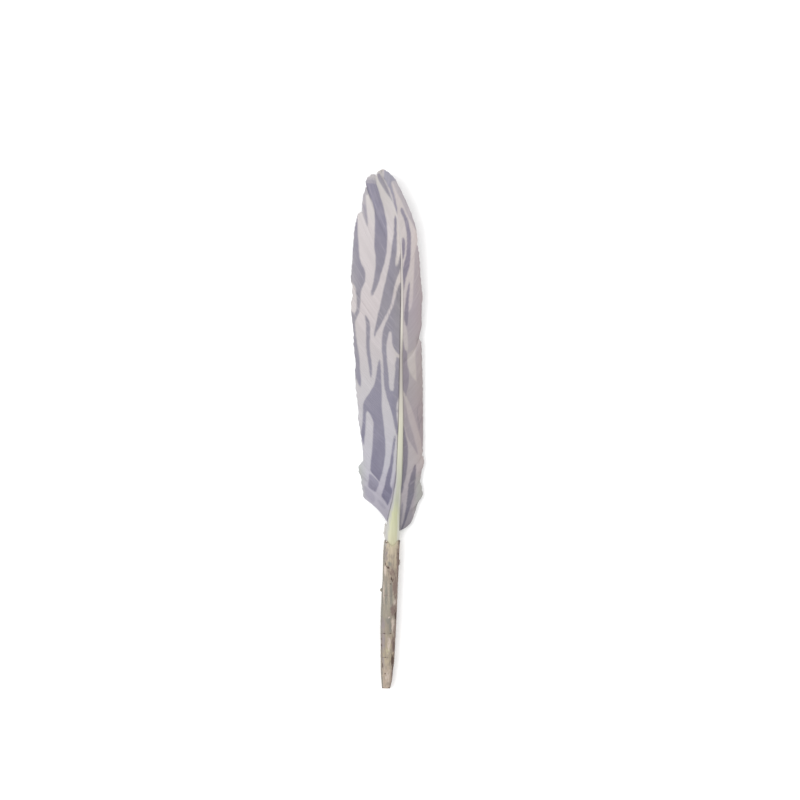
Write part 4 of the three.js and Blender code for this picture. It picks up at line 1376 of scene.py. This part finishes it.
    def laid(self, tree: Tree, given: Any) -> Any:
        """Works out where each point of the strips lies between its seed's two boundary curves.

        Args:
            tree: The web's tree.
            given: The tree's inputs.

        Returns:
            A socket with the place, never below the floor.
        """
        add = partial(add_node, tree)
        lattice = add(POINT_VALUE, ["lattice"], data_type="FLOAT_VECTOR")
        along, aside, up = add(SPLIT, [lattice]).node.outputs
        random = add(POINT_VALUE, ["barb_random"], data_type="FLOAT")
        shorter = add(MATH, [random, given["Frayed"]], operation="MULTIPLY")
        length = add(MATH, [1.0, shorter], operation="SUBTRACT")
        t = add(MATH, [along, length], operation="MULTIPLY")
        rest = add(MATH, [1.0, t], operation="SUBTRACT")
        both = add(MATH, [rest, t], operation="MULTIPLY")
        weights = {
            "root": add(MATH, [rest, 2.0], operation="POWER"),
            "bend": add(MATH, [both, 2.0], operation="MULTIPLY"),
            "tip": add(MATH, [t, 2.0], operation="POWER"),
        }
        sides = []
        for prefix in ("this", "next"):
            at = None
            for part, weight in weights.items():
                point = add(POINT_VALUE, [f"{prefix}_{part}"], data_type="FLOAT_VECTOR")
                point = add(VECTOR, {"Vector": point, "Scale": weight}, operation="SCALE")
                at = point if at is None else add(VECTOR, [at, point], operation="ADD")
            sides.append(at)
        wide = add(MATH, [given["Web Overlap"], 1.0], operation="ADD")
        across = add(MATH, [aside, wide, 0.5], operation="MULTIPLY_ADD")
        gap = add(VECTOR, [sides[1], sides[0]], operation="SUBTRACT")
        gap = add(VECTOR, {"Vector": gap, "Scale": across}, operation="SCALE")
        x, y, z = add(SPLIT, [add(VECTOR, [sides[0], gap], operation="ADD")]).node.outputs
        root_half = add(POINT_VALUE, ["root_half"], data_type="FLOAT")
        half = add(RANGE, [t, 0.0, 1.0, root_half, given["Edge Half Thickness"]])
        height = add(MATH, [up, half], operation="MULTIPLY")
        stray = add(MATH, [random, 0.5], operation="SUBTRACT")
        stray = add(MATH, [stray, given["Lift"]], operation="MULTIPLY")
        height = add(MATH, [stray, t, height], operation="MULTIPLY_ADD")
        height = add(MATH, [z, height], operation="ADD")
        height = add(MATH, [height, self.clear * MM], operation="MAXIMUM")
        return add("ShaderNodeCombineXYZ", [x, y, height])

    def build(self, stripes: ZebraPrint) -> bpy.types.Object:
        """Grows the web, turns it into a plain mesh and prints it.

        Args:
            stripes: The print.

        Returns:
            The finished piece.
        """
        vane = self.seeds()
        tree = self.web_tree()
        grow = vane.modifiers.new("web", "NODES")
        grow.node_group = tree
        values = {
            "Segments": self.segments, "Edge Half Thickness": self.edge_thickness / 2 * MM,
            "Web Overlap": self.overlap, "Tip Taper": self.taper, "Frayed": self.frayed,
            "Lift": self.lift * MM, "Seed": self.seed, "Finish": self.finish.build(),
        }
        for socket in tree.interface.items_tree:
            if socket.in_out == "INPUT" and socket.name in values:
                grow[socket.identifier] = values[socket.name]
        ready = vane.evaluated_get(bpy.context.evaluated_depsgraph_get())
        mesh = bpy.data.meshes.new_from_object(ready)
        vane.modifiers.remove(grow)
        seeds, vane.data = vane.data, mesh
        bpy.data.meshes.remove(seeds)
        mesh.name = self.name
        kept = {"position", "barb_random", "material_index"}
        for spare in [a.name for a in mesh.attributes if a.name not in kept and not a.name.startswith(".")]:
            mesh.attributes.remove(mesh.attributes[spare])
        stripes.mark(mesh)
        hand_over(vane, self.node)
        return vane


# --- Studio --------------------------------------------------------------------------------------


@dataclass(frozen=True)
class Studio:
    """A pale floor, a soft key light from the left, an even white fill and the camera above."""

    aim: tuple[float, float] = (3.94, 8.98)  # X and Y under the camera, in millimetres
    view_width: float = 247.3  # of the picture at the floor, in millimetres
    lens: tuple[float, float] = (200.0, 36.0)  # focal length and sensor width, in millimetres
    key_from: tuple[float, float] = (50.0, 10.0)  # elevation, and turn from -X to +Y, in degrees
    key_distance: float = 1.2  # in metres
    key_size: float = 0.85  # in metres; it sets how soft the shadow is
    key_power: float = 5.4  # in watts
    fill: float = 1.15  # strength of the even white light
    floor_size: float = 3.0  # in metres

    def build(self) -> None:
        """Makes the floor, the lights and the camera."""
        self.lay_floor()
        self.light()
        self.set_camera()

    def lay_floor(self) -> None:
        """Lays the paper under the feather."""
        half = self.floor_size / 2
        mesh = bpy.data.meshes.new("studio_floor")
        corners = [(-half, -half, 0), (half, -half, 0), (half, half, 0), (-half, half, 0)]
        mesh.from_pydata(corners, [], [(0, 1, 2, 3)])
        mesh.materials.append(StudioPaper("studio paper", roughness=0.9, specular=0.1).build())
        floor = bpy.data.objects.new("studio_floor", mesh)
        bpy.context.scene.collection.objects.link(floor)

    def light(self) -> None:
        """Hangs the key light and sets the fill."""
        elevation, turn = (math.radians(a) for a in self.key_from)
        towards = Vector((
            -math.cos(elevation) * math.cos(turn), math.cos(elevation) * math.sin(turn), math.sin(elevation),
        ))
        key = bpy.data.lights.new("key", "AREA")
        key.shape, key.size, key.energy = "DISK", self.key_size, self.key_power
        lamp = bpy.data.objects.new("key", key)
        lamp.location = towards * self.key_distance
        lamp.rotation_euler = (-towards).to_track_quat("-Z", "Y").to_euler()
        bpy.context.scene.collection.objects.link(lamp)
        world = bpy.data.worlds.new("white fill")
        world.use_nodes = True
        world.node_tree.nodes["Background"].inputs["Color"].default_value = (1, 1, 1, 1)
        world.node_tree.nodes["Background"].inputs["Strength"].default_value = self.fill
        bpy.context.scene.world = world
        bpy.context.scene.view_settings.view_transform = "Standard"

    def set_camera(self) -> None:
        """Looks straight down on the feather."""
        lens, sensor = self.lens
        camera = bpy.data.cameras.new("camera")
        camera.lens, camera.sensor_width = lens, sensor
        height = self.view_width * MM * lens / sensor
        camera.clip_start, camera.clip_end = height / 10, height * 10
        eye = bpy.data.objects.new("camera", camera)
        eye.location = (self.aim[0] * MM, self.aim[1] * MM, height)
        bpy.context.scene.collection.objects.link(eye)
        bpy.context.scene.camera = eye


# --- The whole feather ---------------------------------------------------------------------------


def main() -> None:
    """Builds the feather and its studio."""
    logging.basicConfig(level=logging.INFO, format="%(name)s %(message)s")
    Studio().build()
    stripes = ZebraPrint()
    shaft = Shaft()
    shaft.build(stripes)
    Sheath(shaft).build()
    Vane(
        "left_vane_barbs", "left_vane", shaft, side=-1, barbs=LEFT_BARBS, underside=LEFT_UNDERSIDE,
        bow=((-28.8, -0.065), (-26.0, -0.03), (-22.0, 0.02), (-15.0, 0.035)),
        splits=((-20.9, 0.08), (20.8, 0.1), (41.9, 0.08), (50.3, 0.25)), taper=0.02, frayed=0.006, seed=7,
        finish=LEFT_VANE_FINISH,
    ).build(stripes)
    Vane(
        "right_vane_barbs", "right_vane", shaft, side=1, barbs=RIGHT_BARBS, underside=RIGHT_UNDERSIDE,
        bow=((-31.0, 0.09), (78.0, 0.09)),
        splits=((-14.8, 0.2), (19.9, 0.3), (48.2, 0.15)), seed=11, finish=RIGHT_VANE_FINISH,
    ).build(stripes)


if __name__ == "__main__":
    main()
